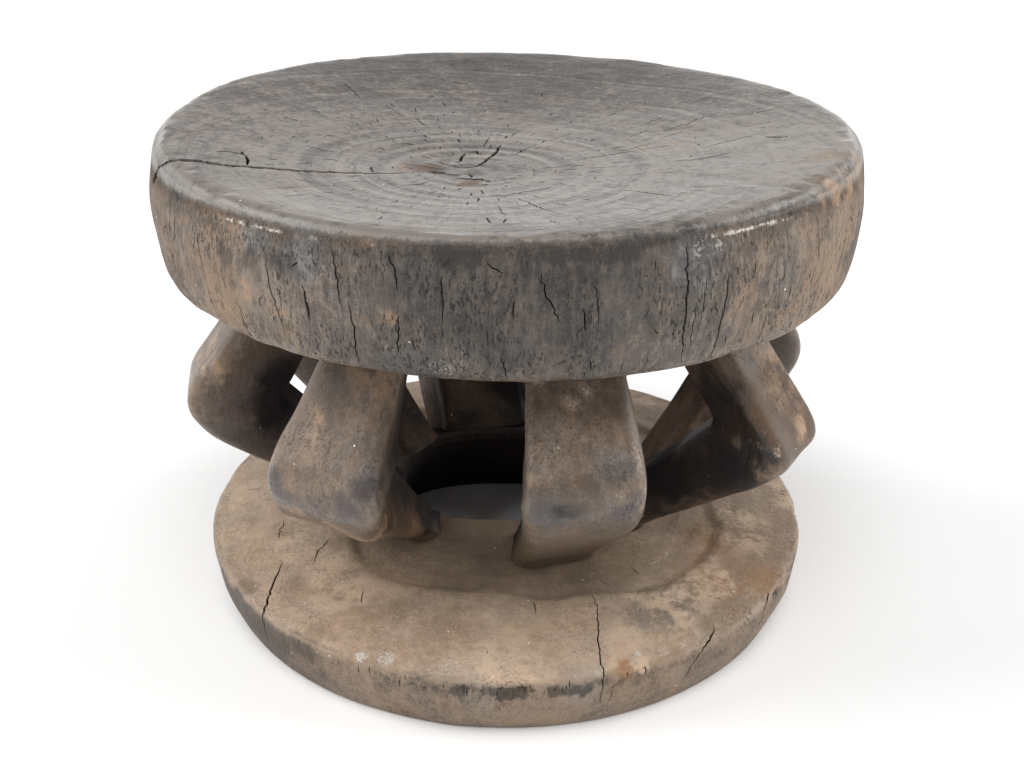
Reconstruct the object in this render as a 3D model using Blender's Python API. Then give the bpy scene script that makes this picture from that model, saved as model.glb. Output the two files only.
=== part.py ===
"""Carved round stool: a dished seat and a ring base, joined by eight bent legs.

The real stool is cut from one log. It is modelled as the members that the carver
shaped: the seat, the pierced base and the eight legs, each a closed solid, with a
small clearance where the wood of one runs on into the next.

Units are metres, +Z is up, and the origin is the centre of the footprint on the floor.
Angles are measured round the stool from the front, -Y, towards the right, +X.
"""

import math

import bmesh
import bpy

# Clearance between members that run into each other in the real wood
MEMBER_GAP = 0.0003

# Seat
SEAT_RADIUS = 0.210
SEAT_TOP = 0.303
SEAT_THICKNESS = 0.0795
SEAT_RIM_RADIUS = 0.200
SEAT_UNDERSIDE_RADIUS = 0.193
SEAT_DISH_DEPTH = 0.014
SEAT_SHOULDER_RADIUS = 0.20625
SEAT_SHOULDER_DROP = 0.0075
SEAT_BELLY_DROP = 0.032
SEAT_SKIRT_RADIUS = 0.2076
SEAT_SKIRT_HEIGHT = 0.019
SEAT_KNUCKLE_RADIUS = 0.2030
SEAT_KNUCKLE_HEIGHT = 0.0054

# Base
BASE_FOOT_RADIUS = 0.1885
BASE_RIDGE_RADIUS = 0.1985
BASE_RIDGE_HEIGHT = 0.039
BASE_RIDGE_ROUNDING = 0.006
BASE_RIDGE_SETBACK = 0.012
BASE_BELLY_RADIUS = 0.196
BASE_BELLY_HEIGHT = 0.019
BASE_SOLE_RADIUS = 0.1835
BASE_FOOT_ROUNDING = 0.0025
BASE_CROWN_HEIGHT = 0.060
HOLE_TOP_HALF_X = 0.068
HOLE_TOP_HALF_Y = 0.0575
HOLE_BOTTOM_HALF_X = 0.090
HOLE_BOTTOM_HALF_Y = 0.085
HOLE_MOUTH_ROUNDING = 0.004

# Legs: the largest leg's sizes. Radii run from the stool's axis to a leg's outer or
# inner face
LEG_TOP_OUTER = 0.148
LEG_TOP_INNER = 0.119
LEG_KNEE_RADIUS = 0.208
LEG_KNEE_HEIGHT = 0.159
LEG_TOE_RADIUS = 0.190
LEG_TOE_DROP = 0.031
LEG_NOTCH_RADIUS = 0.158
LEG_NOTCH_RISE = 0.0405
LEG_FOOT_OUTER = 0.123
LEG_FOOT_INNER = 0.070
LEG_FOOT_DEPTH = 0.034
LEG_TOP_WIDTH = 0.088
LEG_KNEE_WIDTH = 0.099
LEG_FOOT_WIDTH = 0.075
LEG_INNER_WIDTH_SHARE = 0.74
LEG_OUTER_EDGE_ROUNDING = 0.010
LEG_INNER_EDGE_ROUNDING = 0.007
LEG_KNEE_ROUNDING = 0.019
LEG_TOE_ROUNDING = 0.014
LEG_NOTCH_ROUNDING = 0.010
LEG_ROOT_OVERRUN = 0.005

# Where each leg lies, in degrees, at its top, its knee and its foot, and which way
# its foot faces
LEG_ANGLES = {
    "leg_front_right": (13.9, 12.1, 18.0, 16.0),
    "leg_right": (56.0, 59.0, 64.0, 64.0),
    "leg_back_right": (102.0, 103.0, 98.0, 98.0),
    "leg_rear_right": (151.0, 151.0, 150.0, 150.0),
    "leg_rear_left": (189.0, 191.0, 191.0, 191.0),
    "leg_back_left": (235.0, 237.0, 236.0, 236.0),
    "leg_left": (284.0, 281.0, 278.0, 278.0),
    "leg_front_left": (329.6, 329.4, 314.0, 333.0),
}

# How each leg was carved, as shares of the sizes above: height of the knee, drop from it
# to the toe and rise from the toe to the notch behind; reach of the knee, of the notch
# and of the foot; radius of the inner face at the top
LEG_CARVING_SHARES = {
    "leg_front_right": (1.0, 0.984, 0.975, 1.0, 0.98, 0.833, 0.847),
    "leg_right": (0.862, 0.542, 0.765, 0.995, 0.98, 0.829, 0.847),
    "leg_back_right": (0.908, 0.894, 0.884, 0.965, 0.98, 1.0, 0.847),
    "leg_rear_right": (0.917, 0.903, 0.896, 0.98, 0.98, 0.829, 0.847),
    "leg_rear_left": (0.936, 1.0, 0.896, 0.98, 0.98, 0.803, 0.847),
    "leg_back_left": (0.899, 0.884, 0.877, 0.98, 0.96, 0.829, 0.847),
    "leg_left": (0.899, 0.884, 0.553, 1.0, 0.936, 0.829, 0.822),
    "leg_front_left": (0.927, 0.990, 1.0, 1.0, 1.0, 0.795, 1.0),
}

# Width of each leg at its top, its knee and its foot, as shares of the widest leg's
LEG_WIDTH_SHARES = {
    "leg_front_right": (0.58, 0.67, 0.71),
    "leg_right": (0.557, 0.626, 0.60),
    "leg_back_right": (0.557, 0.626, 0.667),
    "leg_rear_right": (0.61, 0.69, 0.667),
    "leg_rear_left": (1.0, 1.0, 1.0),
    "leg_back_left": (0.75, 0.72, 0.667),
    "leg_left": (0.557, 0.626, 0.667),
    "leg_front_left": (0.50, 0.74, 0.71),
}

# Unevenness of the hand-cut seat: harmonic, cosine share, sine share of SEAT_RADIUS
SEAT_HEIGHT_SHARES = ((2, -0.011, 0.009),)
SEAT_OUTLINE_SHARES = ((2, -0.001, 0.003),)

# Where the rings of the dish, the underside and the top of the base lie, as shares of
# the way out to the rim or the ridge
SEAT_DISH_RING_SHARES = (0.2, 0.4, 0.6, 0.75, 0.87, 0.95)
SEAT_UNDERSIDE_RING_SHARE = 0.5
BASE_CROWN_RING_SHARES = (0.0, 0.33, 0.67)

# Rings of the hole's wall: share of its widening, share of its mouth's rounding and
# share of the crown's height
HOLE_WALL_SHARES = (
    (1.0, 0.0, 0.0),
    (0.5, 0.0, 0.5),
    (0.0, 0.0, 0.9),
    (0.0, 0.25, 0.967),
)

# Sections between a leg's top and its knee, and between its toe and its foot, as shares
# of the way
LEG_UPPER_SHARES = (0.4, 0.75)
LEG_LOWER_SHARES = (0.35, 0.7)

# The most that a leg's edges are rounded, as shares of its depth and of its half width
LEG_ROUNDING_LIMIT_SHARES = (0.45, 0.9)

# Powers that shape the dish and the corners of the hole
SEAT_DISH_POWER = 1.3
HOLE_CORNER_POWER = 2.6

# Counts
RING_SEGMENTS = 96
OUTLINE_STEPS = 3
CORNER_STEPS = 4
HEEL_STEPS = 2
BEND_STEPS = 5

# Looks: colour and roughness of each wood, and the angle in degrees of a sharp edge
SEAT_COLOR = (0.16, 0.14, 0.125, 1.0)
BASE_COLOR = (0.27, 0.21, 0.165, 1.0)
LEG_COLOR = (0.20, 0.165, 0.14, 1.0)
SEAT_ROUGHNESS = 0.45
BASE_ROUGHNESS = 0.65
LEG_ROUGHNESS = 0.5
SHARP_EDGE_ANGLE = 40

SEAT_UNDERSIDE = SEAT_TOP - SEAT_THICKNESS


def clear_scene():
    for old in list(bpy.data.objects):
        bpy.data.objects.remove(old)


def wood(name, color, roughness):
    material = bpy.data.materials.new(name)
    material.use_nodes = True
    shader = material.node_tree.nodes["Principled BSDF"]
    shader.inputs["Base Color"].default_value = color
    shader.inputs["Roughness"].default_value = roughness
    shader.inputs["Metallic"].default_value = 0.0
    material.diffuse_color = color
    return material


def finish_object(name, bm, material):
    """Turn a bmesh into a named object with outward faces and one material."""
    bmesh.ops.recalc_face_normals(bm, faces=bm.faces)
    mesh = bpy.data.meshes.new(name)
    bm.to_mesh(mesh)
    bm.free()
    mesh.shade_smooth()
    mesh.set_sharp_from_angle(angle=math.radians(SHARP_EDGE_ANGLE))
    item = bpy.data.objects.new(name, mesh)
    item.data.materials.append(material)
    bpy.context.scene.collection.objects.link(item)
    return item


def smooth_through(points, steps):
    """Points on a Catmull-Rom curve through the given points, ends included."""
    padded = [points[0]] + list(points) + [points[-1]]
    curve = []
    for index in range(1, len(padded) - 2):
        before, start, end, after = padded[index - 1:index + 3]
        for step in range(steps):
            t = step / steps
            curve.append(tuple(
                0.5 * (2 * b + (c - a) * t
                       + (2 * a - 5 * b + 4 * c - d) * t * t
                       + (3 * b - a - 3 * c + d) * t ** 3)
                for a, b, c, d in zip(before, start, end, after)))
    curve.append(tuple(points[-1]))
    return curve


def corner_curve(before, corner, after, reach, steps):
    """A rounded corner: a quadratic curve that leaves and joins both legs at reach."""
    def toward(target):
        length = math.dist(corner, target)
        share = min(reach / length, 0.5)
        return tuple(c + (t - c) * share for c, t in zip(corner, target))

    start = toward(before)
    end = toward(after)
    curve = []
    for step in range(steps + 1):
        t = step / steps
        curve.append(tuple(
            (1 - t) ** 2 * s + 2 * t * (1 - t) * c + t * t * e
            for s, c, e in zip(start, corner, end)))
    return curve


def wobble(shares, angle):
    return sum(cosine * math.cos(order * angle) + sine * math.sin(order * angle)
               for order, cosine, sine in shares)


def add_ring(bm, radius_at, height_at):
    ring = []
    for index in range(RING_SEGMENTS):
        angle = 2 * math.pi * index / RING_SEGMENTS
        radius = radius_at(angle)
        ring.append(bm.verts.new(
            (radius * math.sin(angle), -radius * math.cos(angle), height_at(angle))))
    return ring


def bridge(bm, first, second):
    count = len(first)
    for index in range(count):
        after = (index + 1) % count
        bm.faces.new((first[index], first[after], second[after], second[index]))


def close_with_fan(bm, ring, centre):
    hub = bm.verts.new(centre)
    count = len(ring)
    for index in range(count):
        bm.faces.new((ring[index], ring[(index + 1) % count], hub))


def seat_height(radius):
    """Height of the dished top at a distance from the axis."""
    share = radius / SEAT_RIM_RADIUS
    return SEAT_TOP - SEAT_DISH_DEPTH * (1 - share ** 2) ** SEAT_DISH_POWER


def seat_outline():
    """Radius and height down the outside of the seat, from the lip to the underside."""
    lip = (SEAT_RIM_RADIUS, SEAT_TOP)
    shoulder = (SEAT_SHOULDER_RADIUS, SEAT_TOP - SEAT_SHOULDER_DROP)
    belly = (SEAT_RADIUS, SEAT_TOP - SEAT_BELLY_DROP)
    skirt = (SEAT_SKIRT_RADIUS, SEAT_UNDERSIDE + SEAT_SKIRT_HEIGHT)
    knuckle = (SEAT_KNUCKLE_RADIUS, SEAT_UNDERSIDE + SEAT_KNUCKLE_HEIGHT)
    edge = (SEAT_UNDERSIDE_RADIUS, SEAT_UNDERSIDE)
    return smooth_through([lip, shoulder, belly, skirt, knuckle, edge], OUTLINE_STEPS)


def build_seat(material):
    """Thick round seat: dished top, soft lip, slightly swelling side, flat underside."""
    bm = bmesh.new()
    levels = [(share * SEAT_RIM_RADIUS, seat_height(share * SEAT_RIM_RADIUS), share)
              for share in SEAT_DISH_RING_SHARES]
    for radius, height in seat_outline():
        uneven = max(0.0, (height - SEAT_UNDERSIDE) / SEAT_THICKNESS)
        levels.append((radius, height, uneven))
    levels.append((SEAT_UNDERSIDE_RADIUS * SEAT_UNDERSIDE_RING_SHARE, SEAT_UNDERSIDE, 0.0))
    rings = []
    for radius, height, uneven in levels:
        rings.append(add_ring(
            bm,
            lambda angle, r=radius: r * (1 + wobble(SEAT_OUTLINE_SHARES, angle)),
            lambda angle, z=height, u=uneven:
                z + u * SEAT_RADIUS * wobble(SEAT_HEIGHT_SHARES, angle)))
    for first, second in zip(rings[:-1], rings[1:]):
        bridge(bm, first, second)
    close_with_fan(bm, rings[0], (0, 0, seat_height(0)))
    close_with_fan(bm, rings[-1], (0, 0, SEAT_UNDERSIDE))
    return finish_object("seat", bm, material)


def hole_radius(half_x, half_y, angle):
    """Distance to the edge of the rounded-square hole, a superellipse."""
    across = (abs(math.sin(angle)) / half_x) ** HOLE_CORNER_POWER
    along = (abs(math.cos(angle)) / half_y) ** HOLE_CORNER_POWER
    return (across + along) ** (-1 / HOLE_CORNER_POWER)


def base_top_height(radius):
    """Height of the gently conical top of the base."""
    inner = (HOLE_TOP_HALF_X + HOLE_TOP_HALF_Y) / 2
    share = (BASE_RIDGE_RADIUS - radius) / (BASE_RIDGE_RADIUS - inner)
    return BASE_RIDGE_HEIGHT + (BASE_CROWN_HEIGHT - BASE_RIDGE_HEIGHT) * share


def base_outline():
    """Radius and height round the outside of the base, from the top to the floor."""
    inside_radius = BASE_RIDGE_RADIUS - BASE_RIDGE_SETBACK
    inside = (inside_radius, base_top_height(inside_radius))
    ridge = (BASE_RIDGE_RADIUS, BASE_RIDGE_HEIGHT)
    belly = (BASE_BELLY_RADIUS, BASE_BELLY_HEIGHT)
    heel = (BASE_FOOT_RADIUS, 0)
    sole = (BASE_SOLE_RADIUS, 0)
    outline = corner_curve(inside, ridge, belly, BASE_RIDGE_ROUNDING, CORNER_STEPS)
    outline.append(belly)
    outline += corner_curve(belly, heel, sole, BASE_FOOT_ROUNDING, HEEL_STEPS)
    return outline


def add_base_body(bm, lift):
    """The base's rings from the mouth of its hole, over the ridge, down to the floor."""
    def crown_ring(share):
        def radius_at(angle):
            inner = hole_radius(HOLE_TOP_HALF_X + HOLE_MOUTH_ROUNDING,
                                HOLE_TOP_HALF_Y + HOLE_MOUTH_ROUNDING, angle)
            outer = BASE_RIDGE_RADIUS - BASE_RIDGE_SETBACK
            return inner + (outer - inner) * share

        return add_ring(
            bm, radius_at, lambda angle: base_top_height(radius_at(angle)) + lift)

    rings = [crown_ring(share) for share in BASE_CROWN_RING_SHARES]
    for radius, height in base_outline():
        rings.append(add_ring(
            bm, lambda angle, r=radius: r, lambda angle, z=height: z + lift))
    for first, second in zip(rings[:-1], rings[1:]):
        bridge(bm, first, second)
    return rings


def build_base(material):
    """Heavy ring that stands on the floor, with an oval hole that widens downwards."""
    bm = bmesh.new()
    body = add_base_body(bm, 0.0)

    def hole_ring(widening_share, mouth_share, height_share):
        grow = HOLE_MOUTH_ROUNDING * mouth_share
        half_x = HOLE_TOP_HALF_X + (HOLE_BOTTOM_HALF_X - HOLE_TOP_HALF_X) * widening_share + grow
        half_y = HOLE_TOP_HALF_Y + (HOLE_BOTTOM_HALF_Y - HOLE_TOP_HALF_Y) * widening_share + grow
        return add_ring(
            bm,
            lambda angle: hole_radius(half_x, half_y, angle),
            lambda angle: BASE_CROWN_HEIGHT * height_share)

    hole = [body[-1]] + [hole_ring(*shares) for shares in HOLE_WALL_SHARES] + [body[0]]
    for first, second in zip(hole[:-1], hole[1:]):
        bridge(bm, first, second)
    return finish_object("base_ring", bm, material)


def leg_sections(knee_share, toe_share, rise_share, reach_share, notch_share,
                 foot_share, top_share):
    """Outer and inner point (radius, height) of each section down a leg."""
    knee_height = LEG_KNEE_HEIGHT * knee_share
    toe_height = knee_height - LEG_TOE_DROP * toe_share
    notch_height = toe_height + LEG_NOTCH_RISE * rise_share
    foot_radius = LEG_FOOT_OUTER * foot_share
    top = SEAT_UNDERSIDE - MEMBER_GAP
    outer_top = (LEG_TOP_OUTER, top)
    inner_top = (LEG_TOP_INNER * top_share, top)
    knee = (LEG_KNEE_RADIUS * reach_share, knee_height)
    toe = (LEG_TOE_RADIUS * reach_share, toe_height)
    notch = (LEG_NOTCH_RADIUS * notch_share, notch_height)
    outer_foot = (foot_radius, base_top_height(foot_radius))
    inner_radius = max(foot_radius - LEG_FOOT_DEPTH, LEG_FOOT_INNER)
    inner_foot = (inner_radius, base_top_height(inner_radius))

    outer = corner_curve(outer_top, knee, toe, LEG_KNEE_ROUNDING, BEND_STEPS)
    outer += corner_curve(knee, toe, outer_foot, LEG_TOE_ROUNDING, BEND_STEPS)
    inner = corner_curve(inner_top, notch, inner_foot, LEG_NOTCH_ROUNDING, 2 * BEND_STEPS + 1)

    def between(first, second, share):
        return tuple(a + (b - a) * share for a, b in zip(first, second))

    def below(point):
        return (point[0], point[1] - LEG_ROOT_OVERRUN)

    sections = [(outer_top, inner_top)]
    sections += [(between(outer_top, outer[0], share), between(inner_top, inner[0], share))
                 for share in LEG_UPPER_SHARES]
    sections += list(zip(outer, inner))
    sections += [(between(outer[-1], outer_foot, share), between(inner[-1], inner_foot, share))
                 for share in LEG_LOWER_SHARES]
    sections += [(outer_foot, inner_foot), (below(outer_foot), below(inner_foot))]
    return sections


def rounded_section(depth, half_width):
    """Rounded rectangle as (inward, sideways) offsets from the outer point."""
    corners = ((0, 1, LEG_OUTER_EDGE_ROUNDING), (1, 1, LEG_INNER_EDGE_ROUNDING),
               (1, -1, LEG_INNER_EDGE_ROUNDING), (0, -1, LEG_OUTER_EDGE_ROUNDING))
    depth_share, width_share = LEG_ROUNDING_LIMIT_SHARES
    points = []
    for number, (end, side, rounding) in enumerate(corners):
        half = half_width if end == 0 else half_width * LEG_INNER_WIDTH_SHARE
        radius = min(rounding, depth_share * depth, width_share * half)
        centre_in = radius if end == 0 else depth - radius
        centre_side = side * (half - radius)
        start = math.pi - number * math.pi / 2
        for step in range(CORNER_STEPS + 1):
            turn = start - step * math.pi / 2 / CORNER_STEPS
            points.append((centre_in + radius * math.cos(turn),
                           centre_side + radius * math.sin(turn)))
    return points


def build_leg(name, material, crown_guide):
    """One bent leg: out and down from the seat to the knee, then in to the base."""
    top_angle, knee_angle, foot_angle, foot_facing = (
        math.radians(angle) for angle in LEG_ANGLES[name])
    path_shares = LEG_CARVING_SHARES[name]
    top_share, knee_share, foot_share = LEG_WIDTH_SHARES[name]
    top_width = LEG_TOP_WIDTH * top_share
    knee_width = LEG_KNEE_WIDTH * knee_share
    foot_width = LEG_FOOT_WIDTH * foot_share
    knee_height = LEG_KNEE_HEIGHT * path_shares[0]
    sections = leg_sections(*path_shares)
    bm = bmesh.new()
    loops = []
    for outer, inner in sections:
        middle_height = (outer[1] + inner[1]) / 2
        if middle_height > knee_height:
            share = (middle_height - knee_height) / (SEAT_UNDERSIDE - knee_height)
            angle = knee_angle + (top_angle - knee_angle) * share
            facing = angle
            width = knee_width + (top_width - knee_width) * share
        else:
            share = (knee_height - middle_height) / (knee_height - BASE_CROWN_HEIGHT)
            angle = knee_angle + (foot_angle - knee_angle) * share
            facing = knee_angle + (foot_facing - knee_angle) * share
            width = knee_width + (foot_width - knee_width) * share
        face_x = outer[0] * math.sin(angle)
        face_y = -outer[0] * math.cos(angle)
        depth = math.dist(outer, inner)
        inward = tuple((b - a) / depth for a, b in zip(outer, inner))
        loop = []
        for along, across in rounded_section(depth, width / 2):
            back = inward[0] * along
            height = outer[1] + inward[1] * along
            loop.append(bm.verts.new((
                face_x + back * math.sin(facing) + across * math.cos(facing),
                face_y - back * math.cos(facing) + across * math.sin(facing),
                height)))
        loops.append(loop)
    for first, second in zip(loops[:-1], loops[1:]):
        bridge(bm, first, second)
    bm.faces.new(loops[0])
    bm.faces.new(loops[-1])
    leg = finish_object(name, bm, material)
    cut = leg.modifiers.new("Seat on base", "BOOLEAN")
    cut.operation = "DIFFERENCE"
    cut.solver = "EXACT"
    cut.object = crown_guide
    return leg


def build_crown_guide():
    """A guide of the base's top, lifted by the clearance, that trims the legs' feet."""
    bm = bmesh.new()
    body = add_base_body(bm, MEMBER_GAP)
    close_with_fan(bm, body[0], (0, 0, BASE_CROWN_HEIGHT + MEMBER_GAP))
    close_with_fan(bm, body[-1], (0, 0, MEMBER_GAP))
    guide = finish_object("crown_trim_guide", bm, wood("guide", BASE_COLOR, BASE_ROUGHNESS))
    guide.hide_render = True
    guide.display_type = "WIRE"
    return guide


def main():
    clear_scene()
    build_seat(wood("seat_wood", SEAT_COLOR, SEAT_ROUGHNESS))
    build_base(wood("base_wood", BASE_COLOR, BASE_ROUGHNESS))
    guide = build_crown_guide()
    for name in LEG_ANGLES:
        build_leg(name, wood(name + "_wood", LEG_COLOR, LEG_ROUGHNESS), guide)


main()
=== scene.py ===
"""Looks of the carved round stool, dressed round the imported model."""

import math

import bmesh
import bpy
import numpy as np
from mathutils import Matrix, Vector
from mathutils.geometry import delaunay_2d_cdt


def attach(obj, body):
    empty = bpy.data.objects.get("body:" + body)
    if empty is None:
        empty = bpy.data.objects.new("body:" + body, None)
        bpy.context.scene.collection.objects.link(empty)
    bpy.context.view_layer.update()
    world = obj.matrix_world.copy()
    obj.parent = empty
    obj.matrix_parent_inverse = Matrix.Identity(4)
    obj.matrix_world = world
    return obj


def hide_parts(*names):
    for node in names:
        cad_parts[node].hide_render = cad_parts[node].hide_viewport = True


TAU = 2 * math.pi
MM = 0.001

# Sizes of the members, as in the solids, but for a sharper ridge on the base
SEAT_RADIUS = 0.210
SEAT_TOP = 0.303
SEAT_THICKNESS = 0.0795
SEAT_UNDERSIDE = SEAT_TOP - SEAT_THICKNESS
SEAT_RIM_RADIUS = 0.200
SEAT_UNDERSIDE_RADIUS = 0.193
SEAT_DISH_DEPTH = 0.014
SEAT_DISH_POWER = 1.3
SEAT_OUTLINE = ((0.20625, 0.2955), (0.210, 0.271), (0.2076, 0.2425), (0.2030, 0.2289),
                (0.193, 0.2235))
SEAT_LIP_START = 0.195
SEAT_LIP = ((0.2000, 0.3024), (0.2036, 0.2994))
SEAT_HEIGHT_WAVES = ((2, -0.011, 0.009),)
SEAT_OUTLINE_WAVES = ((2, -0.001, 0.003), (3, -0.006, 0.005))

BASE_FOOT_RADIUS = 0.1885
BASE_RIDGE_RADIUS = 0.1985
BASE_RIDGE_HEIGHT = 0.039
BASE_RIDGE_ROUNDING = 0.0045
BASE_BELLY_RADIUS = 0.196
BASE_BELLY_HEIGHT = 0.019
BASE_SOLE_RADIUS = 0.1835
BASE_CROWN_HEIGHT = 0.060
HOLE_TOP_HALF_X = 0.068
HOLE_TOP_HALF_Y = 0.0575
HOLE_BOTTOM_HALF_X = 0.090
HOLE_BOTTOM_HALF_Y = 0.085
HOLE_MOUTH_ROUNDING = 0.004
HOLE_CORNER_POWER = 2.6

LEG_TOP_OUTER = 0.148
LEG_TOP_INNER = 0.119
LEG_KNEE_RADIUS = 0.208
LEG_KNEE_HEIGHT = 0.159
LEG_TOE_RADIUS = 0.190
LEG_TOE_DROP = 0.031
LEG_NOTCH_RADIUS = 0.158
LEG_NOTCH_RISE = 0.0405
LEG_FOOT_OUTER = 0.123
LEG_FOOT_INNER = 0.070
LEG_FOOT_DEPTH = 0.034
LEG_TOP_WIDTH = 0.088
LEG_KNEE_WIDTH = 0.099
LEG_FOOT_WIDTH = 0.075
LEG_INNER_WIDTH_SHARE = 0.74
LEG_OUTER_EDGE_ROUNDING = 0.010
LEG_INNER_EDGE_ROUNDING = 0.007
LEG_KNEE_ROUNDING = 0.019
LEG_TOE_ROUNDING = 0.014
LEG_NOTCH_ROUNDING = 0.010

# Angles in degrees from the front: of each leg's top, knee and foot, and where its foot
# faces. leg_rear_left is turned and widened by a few millimetres from its solid.
LEG_ANGLES = {
    "leg_front_right": (13.9, 12.1, 18.0, 16.0),
    "leg_right": (56.0, 59.0, 64.0, 64.0),
    "leg_back_right": (102.0, 103.0, 98.0, 98.0),
    "leg_rear_right": (151.0, 151.0, 150.0, 150.0),
    "leg_rear_left": (189.0, 191.4, 192.6, 192.2),
    "leg_back_left": (235.0, 237.0, 236.0, 236.0),
    "leg_left": (284.0, 281.0, 278.0, 278.0),
    "leg_front_left": (329.6, 329.4, 314.0, 333.0),
}

# How each leg was carved, as shares of the sizes above: height of the knee, drop from it
# to the toe and rise from the toe to the notch behind; reach of the knee, of the notch
# and of the foot; radius of the inner face at the top
LEG_CARVING_SHARES = {
    "leg_front_right": (1.0, 0.984, 0.975, 1.0, 0.98, 0.833, 0.847),
    "leg_right": (0.862, 0.542, 0.765, 0.995, 0.98, 0.829, 0.847),
    "leg_back_right": (0.908, 0.894, 0.884, 0.965, 0.98, 1.0, 0.847),
    "leg_rear_right": (0.917, 0.903, 0.896, 0.98, 0.98, 0.829, 0.847),
    "leg_rear_left": (0.936, 1.0, 0.896, 0.98, 0.98, 0.803, 0.847),
    "leg_back_left": (0.899, 0.884, 0.877, 0.98, 0.96, 0.829, 0.847),
    "leg_left": (0.899, 0.884, 0.553, 1.0, 0.936, 0.829, 0.822),
    "leg_front_left": (0.927, 0.990, 1.0, 1.0, 1.0, 0.795, 1.0),
}

# Width of each leg at its top, its knee and its foot, as shares of the solids' widest
LEG_WIDTH_SHARES = {
    "leg_front_right": (0.58, 0.67, 0.71),
    "leg_right": (0.557, 0.626, 0.60),
    "leg_back_right": (0.557, 0.626, 0.667),
    "leg_rear_right": (0.61, 0.69, 0.667),
    "leg_rear_left": (1.03, 1.02, 1.06),
    "leg_back_left": (0.75, 0.72, 0.667),
    "leg_left": (0.557, 0.626, 0.667),
    "leg_front_left": (0.50, 0.74, 0.71),
}

# Pith of the log, off the middle of the seat
PITH = (-0.019, -0.060)

# Points round the edges of the flat maps, and seeds of their random cracks
SEAT_EDGE_POINTS, BASE_EDGE_POINTS = 480, 300
SEAT_SEED, BASE_SEED = 11, 23

# Room left round a crack, the depth from which one is marked in full, and the angle in
# degrees from which an edge is sharp
CRACK_ROOM = 0.0011
CRACK_BLACK_DEPTH = 0.0009
SHARP_ANGLE = 38

# Rings of the seat's underside, as shares of its radius. Wall of the hole, from the
# floor up: shares of the way to its lower size, of the mouth's rounding and of the height
SEAT_UNDERSIDE_RINGS = (0.96, 0.9, 0.83, 0.76, 0.68, 0.6, 0.52, 0.44, 0.36, 0.28, 0.2, 0.12,
                        0.05)
HOLE_WALL = ((1.0, 0.0, 0.0), (0.93, 0.0, 0.06), (0.8, 0.0, 0.18), (0.65, 0.0, 0.33),
             (0.5, 0.0, 0.5), (0.33, 0.0, 0.63), (0.15, 0.0, 0.78), (0.0, 0.0, 0.9),
             (0.0, 0.25, 0.967))

# How far the legs run into the seat and the base. Where their sections lie: shares of
# the way down to the knee and from the toe to the foot
LEG_SEAT_OVERLAP, LEG_BASE_OVERLAP = 0.0010, 0.0012
LEG_BEND_STEPS = 12
LEG_UPPER_SHARES = (0.0, 0.02, 0.04, 0.06, 0.09, 0.12, 0.17, 0.24, 0.32, 0.41, 0.50, 0.59,
                    0.68, 0.77, 0.85, 0.93)
LEG_LOWER_SHARES = (0.08, 0.16, 0.25, 0.34, 0.43, 0.52, 0.61, 0.69, 0.76, 0.82, 0.87, 0.91,
                    0.94, 0.97, 1.0)

# How much painted shade the inner faces of some legs carry, as a share of the others'
LEG_INNER_SHADE_SHARES = {"leg_back_right": 0.1, "leg_right": 0.3, "leg_back_left": 0.2,
                     "leg_rear_left": 0.75}

# What each mesh carries for its material: cracks, tone with painted light and shade in it
# (-1 darker to 1 lighter), tan wood, sheen, the seat's top, pits, painted shade in places out
# of the light, umber (below 0 smoky), and scuffs with painted highlights
SURFACE_VALUES = ("crack", "tone", "warm", "gloss", "top", "pitted", "shut", "umber", "scuff")

UMBER_TINT, SMOKE_TINT = (1.08, 0.80, 0.56, 1.0), (0.80, 0.86, 0.98, 1.0)
SCUFF_AND_HIGHLIGHT_COLOUR, SPECK_COLOUR = (0.56, 0.52, 0.46, 1.0), (0.70, 0.66, 0.60, 1.0)
PIT_COLOUR, CRACK_COLOUR = (0.012, 0.009, 0.007, 1.0), (0.007, 0.005, 0.004, 1.0)
# Near-black colour of the painted shade in places out of the light
PAINTED_SHADE_COLOUR = (0.006, 0.004, 0.005, 1.0)
ROUGHEST, SMOOTHEST = 0.95, 0.18

CAMERA_PITCH_ROLL_YAW = (0.46, 0.0069, 0.0042)
CAMERA_LENS = 45.69
CAMERA_PLACE = (0.0, -0.7672, 0.5068)

# Lowest and highest height of the glow's edge, its strength and the strength overhead
WORLD_GLOW = (0.03, 0.37, 1.78, 0.34)


# Noise

def lattice(cell, seed):
    """A repeatable number from -1 to 1 for each whole-numbered place."""
    h = (cell @ (374761393, 668265263, 1440662683) + seed * 1274126177) & 0xFFFFFFFF
    h = ((h ^ (h >> 13)) * 1274126177) & 0xFFFFFFFF
    h = ((h ^ (h >> 15)) * 2246822519) & 0xFFFFFFFF
    return ((h ^ (h >> 16)) & 0xFFFFFF) / float(0xFFFFFF) * 2 - 1


def noise(points, scale, seed=0):
    """Smooth value noise from -1 to 1 at each point."""
    p = np.asarray(points, float) * np.asarray(scale, float)
    cell = np.floor(p).astype(np.int64)
    f = p - cell
    f = f * f * f * (f * (f * 6 - 15) + 10)
    total = 0
    for corner in np.ndindex(2, 2, 2):
        near = np.where(corner, f, 1 - f)
        total = total + near[:, 0] * near[:, 1] * near[:, 2] * lattice(cell + corner, seed)
    return total


def fractal(points, scale, seed=0, octaves=3):
    """Noise with finer and fainter noise on it."""
    total, size = 0, 0.0
    for octave in range(octaves):
        amount = 0.5 ** octave
        total = total + amount * noise(points, np.asarray(scale, float) * 2.03 ** octave,
                                       seed + octave * 17)
        size += amount
    return total / size


def ease(values, low, high):
    """A smooth rise from 0 at low to 1 at high."""
    t = np.clip((np.asarray(values, float) - low) / (high - low), 0, 1)
    return t * t * (3 - 2 * t)


def bell(values, middle, width):
    """1 at the middle, fading to both sides."""
    return np.exp(-((values - middle) / width) ** 2)


def spot(points, centre, sizes):
    """A soft patch, 1 in the middle and 0 outside, with sizes along x, y and z."""
    d = (np.asarray(points) - np.asarray(centre)) / np.asarray(sizes)
    return np.exp(-2.2 * (d * d).sum(1))


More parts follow.
